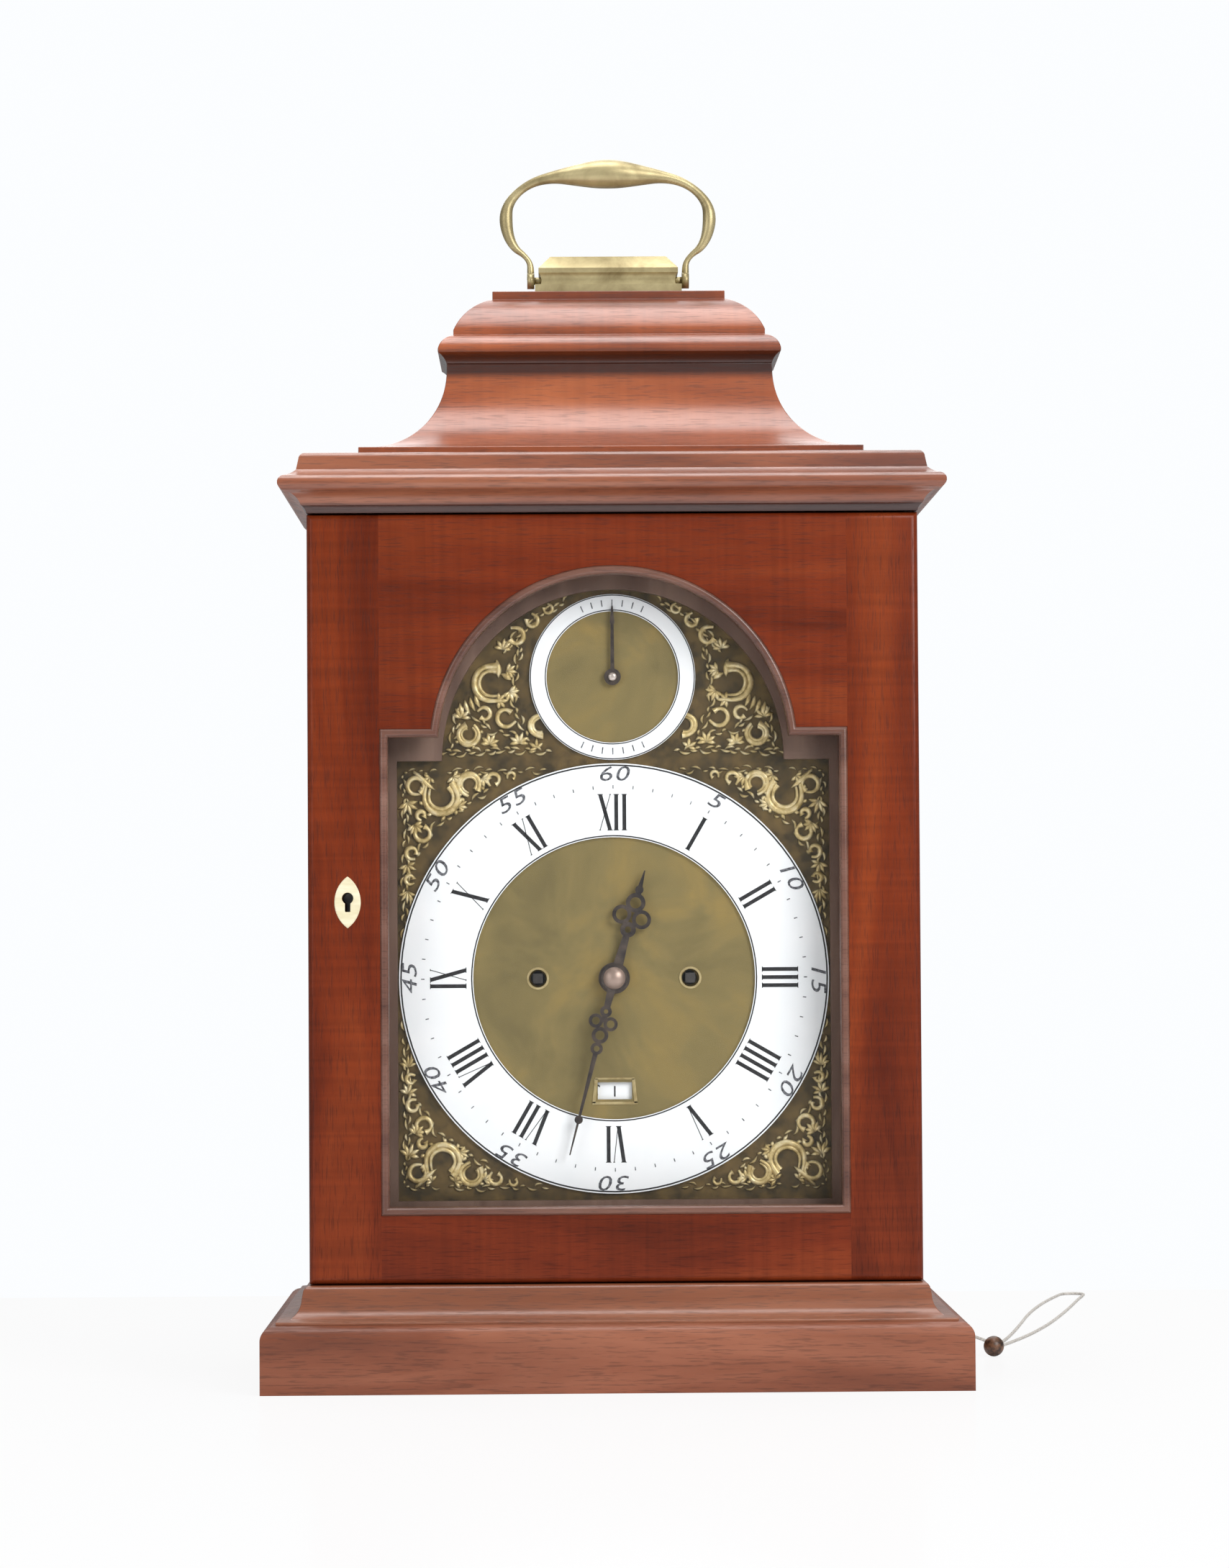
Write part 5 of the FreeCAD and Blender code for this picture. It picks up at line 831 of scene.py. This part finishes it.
# The fusees' winding squares are steel, painted darker than the other steel: painted shade
# where they end behind the holes in the dial.
square_y = -0.046
fusee = Finish("fusee_brass_and_steel", (190, 158, 92), metal=0.9)
fusee_place = fusee.node("SeparateXYZ")
fusee.link(fusee.coordinates, fusee_place.inputs["Vector"])
square = fusee.node("Math", operation="LESS_THAN")
square.inputs[1].default_value = square_y
fusee.link(fusee_place.outputs["Y"], square.inputs[0])
cloud = fusee.noise((60, 60, 60), 5)
fusee_brass = fusee.ramp(cloud, (0.3, (128, 100, 52)), (0.68, (196, 164, 96)))
square_steel_and_shade = fusee.ramp(cloud, (0.3, (42, 40, 40)), (0.68, (104, 100, 98)))
fusee.colour(fusee.mixed("MIX", square.outputs[0], fusee_brass, square_steel_and_shade))
fusee.rough(fusee.ramp(cloud, (0.25, 0.45), (0.75, 0.28)))
painted("going_fusee", fusee.material)
painted("strike_fusee", fusee.material)
for part in ("hammer", "pallets", "repeat_lever"):
    painted(part, steel)
painted("bell", aged_metal("bell_metal", (150, 132, 96), (206, 190, 150), 0.22, 0.9, 25))
back_wood = mahogany("back_door_mahogany", "Z", (78, 34, 22), (112, 56, 36), (136, 74, 48),
                     at=(4, 4, 4), polish=0.1)
dressed("back_door_frame", "back_frame", back_wood, 0.0004)

# ---- Handle ------------------------------------------------------------------------------------
# Cast and filed brass, gone pale green in the hollows: a bail that swells to a long leaf-shaped
# grip and thins to two necks, hung by trunnions in a moulded brass block.
handle_brass = aged_metal("handle_brass", (116, 102, 66), (196, 182, 138), 0.32, 0.6, 45)
dressed("handle_block", "bail_block", handle_brass, 0.0004)
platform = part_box("handle_block")[0].z
ear_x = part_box("handle_block")[1].x + 0.0018
pivot_z = platform + 0.006
ear_r, trunnion_r, gap = 0.0034, 0.0016, 0.0034
# Half of the bail, in millimetres: across, up from the platform, and its radius there.
BAIL = [(-32.8, 6.5, 1.6), (-32.8, 10.5, 1.5), (-33.1, 13.8, 1.2), (-35.4, 17, 1.1),
        (-39.6, 20, 1.7), (-42.4, 25.6, 2.4), (-43.4, 32.6, 2.9), (-42.4, 38.6, 2.2),
        (-38, 44.2, 1.7), (-31.4, 48.4, 1.9), (-23, 50.4, 2.6), (-14, 51, 4.4),
        (-6, 51.4, 5.9), (0, 51.6, 6.25)]
bar_curve = bpy.data.curves.new("bail_bar", "CURVE")
bar_curve.dimensions = "3D"
bar_curve.bevel_depth = 0.001
bar_curve.bevel_resolution = 4
bar_curve.use_fill_caps = True
bar_line = bar_curve.splines.new("NURBS")
bail_points = BAIL + [(-x, z, r) for x, z, r in reversed(BAIL[:-1])]
bar_line.points.add(len(bail_points) - 1)
for spot, (x, z, radius) in zip(bar_line.points, bail_points):
    spot.co = (x / 1000, 0, platform + z / 1000, 1)
    spot.radius = radius
bar_line.order_u = 3
bar_line.use_endpoint_u = True
bar_line.resolution_u = 6
holder = bpy.data.objects.new("bail_bar", bar_curve)
bar_mesh = bpy.data.meshes.new_from_object(holder)
bpy.data.objects.remove(holder)
bail = bmesh.new()
bail.from_mesh(bar_mesh)
along_x = Matrix.Rotation(math.radians(90), 4, "Y")
for side in (-1, 1):
    for out, radius, long, sides in ((ear_x, ear_r, 0.003, 32),
                                     (ear_x - gap, trunnion_r, 0.0068, 24)):
        bmesh.ops.create_cone(bail, cap_ends=True, segments=sides, radius1=radius, radius2=radius,
                              depth=long,
                              matrix=Matrix.Translation((side * out, 0, pivot_z)) @ along_x)
for face in bail.faces:
    face.smooth = len(face.verts) == 4
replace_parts(new_piece("bail", finished_mesh(bail, "bail"), handle_brass, "carrying_handle"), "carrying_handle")

# ---- Pull cord and bead ------------------------------------------------------------------------
# A limp white cord of twisted linen: pulled, it makes the clock repeat the last hour. It leaves
# the plinth at the right, lies in a long loop on the table and ends in a turned wooden bead.
lie = 0.00075
face_x = 0.143
bead_low, bead_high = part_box("repeat_bead")
bead_middle = (bead_low + bead_high) / 2
# The cord's course in metres: out of the plinth, along the table, round and back to the bead.
CORD = [(face_x - 0.005, 0.070, 0.009), (face_x + 0.0075, 0.070, 0.009), (0.162, 0.0755, 0.005),
        (0.1695, 0.091, lie), (0.175, 0.114, lie), (0.1825, 0.153, lie), (0.1915, 0.206, lie),
        (0.2005, 0.262, lie), (0.2115, 0.317, lie), (0.220, 0.352, lie), (0.2265, 0.376, lie),
        (0.230, 0.388, lie), (0.2362, 0.390, lie), (0.241, 0.3857, lie), (0.2389, 0.3739, lie),
        (0.2343, 0.352, lie), (0.227, 0.313, lie), (0.2175, 0.265, lie), (0.2065, 0.213, lie),
        (0.1965, 0.172, lie), (0.1875, 0.139, lie), (0.179, 0.112, lie), (0.1715, 0.090, lie),
        (0.1666, 0.074, 0.0018), (0.1643, 0.062, bead_middle.z),
        (0.1643, bead_high.y, bead_middle.z)]
linen = Finish("linen_cord", (206, 202, 194), rough=0.85)
linen.colour(linen.ramp(linen.noise((900, 900, 900), 3), (0.3, (156, 150, 142)),
                        (0.7, (206, 202, 196))))
linen.bump(linen.noise((2500, 2500, 2500), 2), 0.0001, 0.8)
strand = bpy.data.curves.new("pull_cord", "CURVE")
strand.dimensions = "3D"
strand.bevel_depth = 0.0007
strand.bevel_resolution = 3
strand.use_fill_caps = True
route = strand.splines.new("NURBS")
route.points.add(len(CORD) - 1)
for point, place in zip(route.points, CORD):
    point.co = (*place, 1)
route.order_u = 3
route.use_endpoint_u = True
route.resolution_u = 8
strand.materials.append(linen.material)
pull_cord = bpy.data.objects.new("pull_cord", strand)
bpy.context.scene.collection.objects.link(pull_cord)
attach(pull_cord, "case")
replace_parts(pull_cord, "repeat_cord")
bead_finish = Finish("turned_bead", (70, 46, 34), rough=0.4)
bead_finish.colour(bead_finish.ramp(bead_finish.noise((500, 120, 500), 4), (0.35, (38, 24, 18)),
                                    (0.7, (120, 82, 56))))
painted("repeat_bead", bead_finish.material)
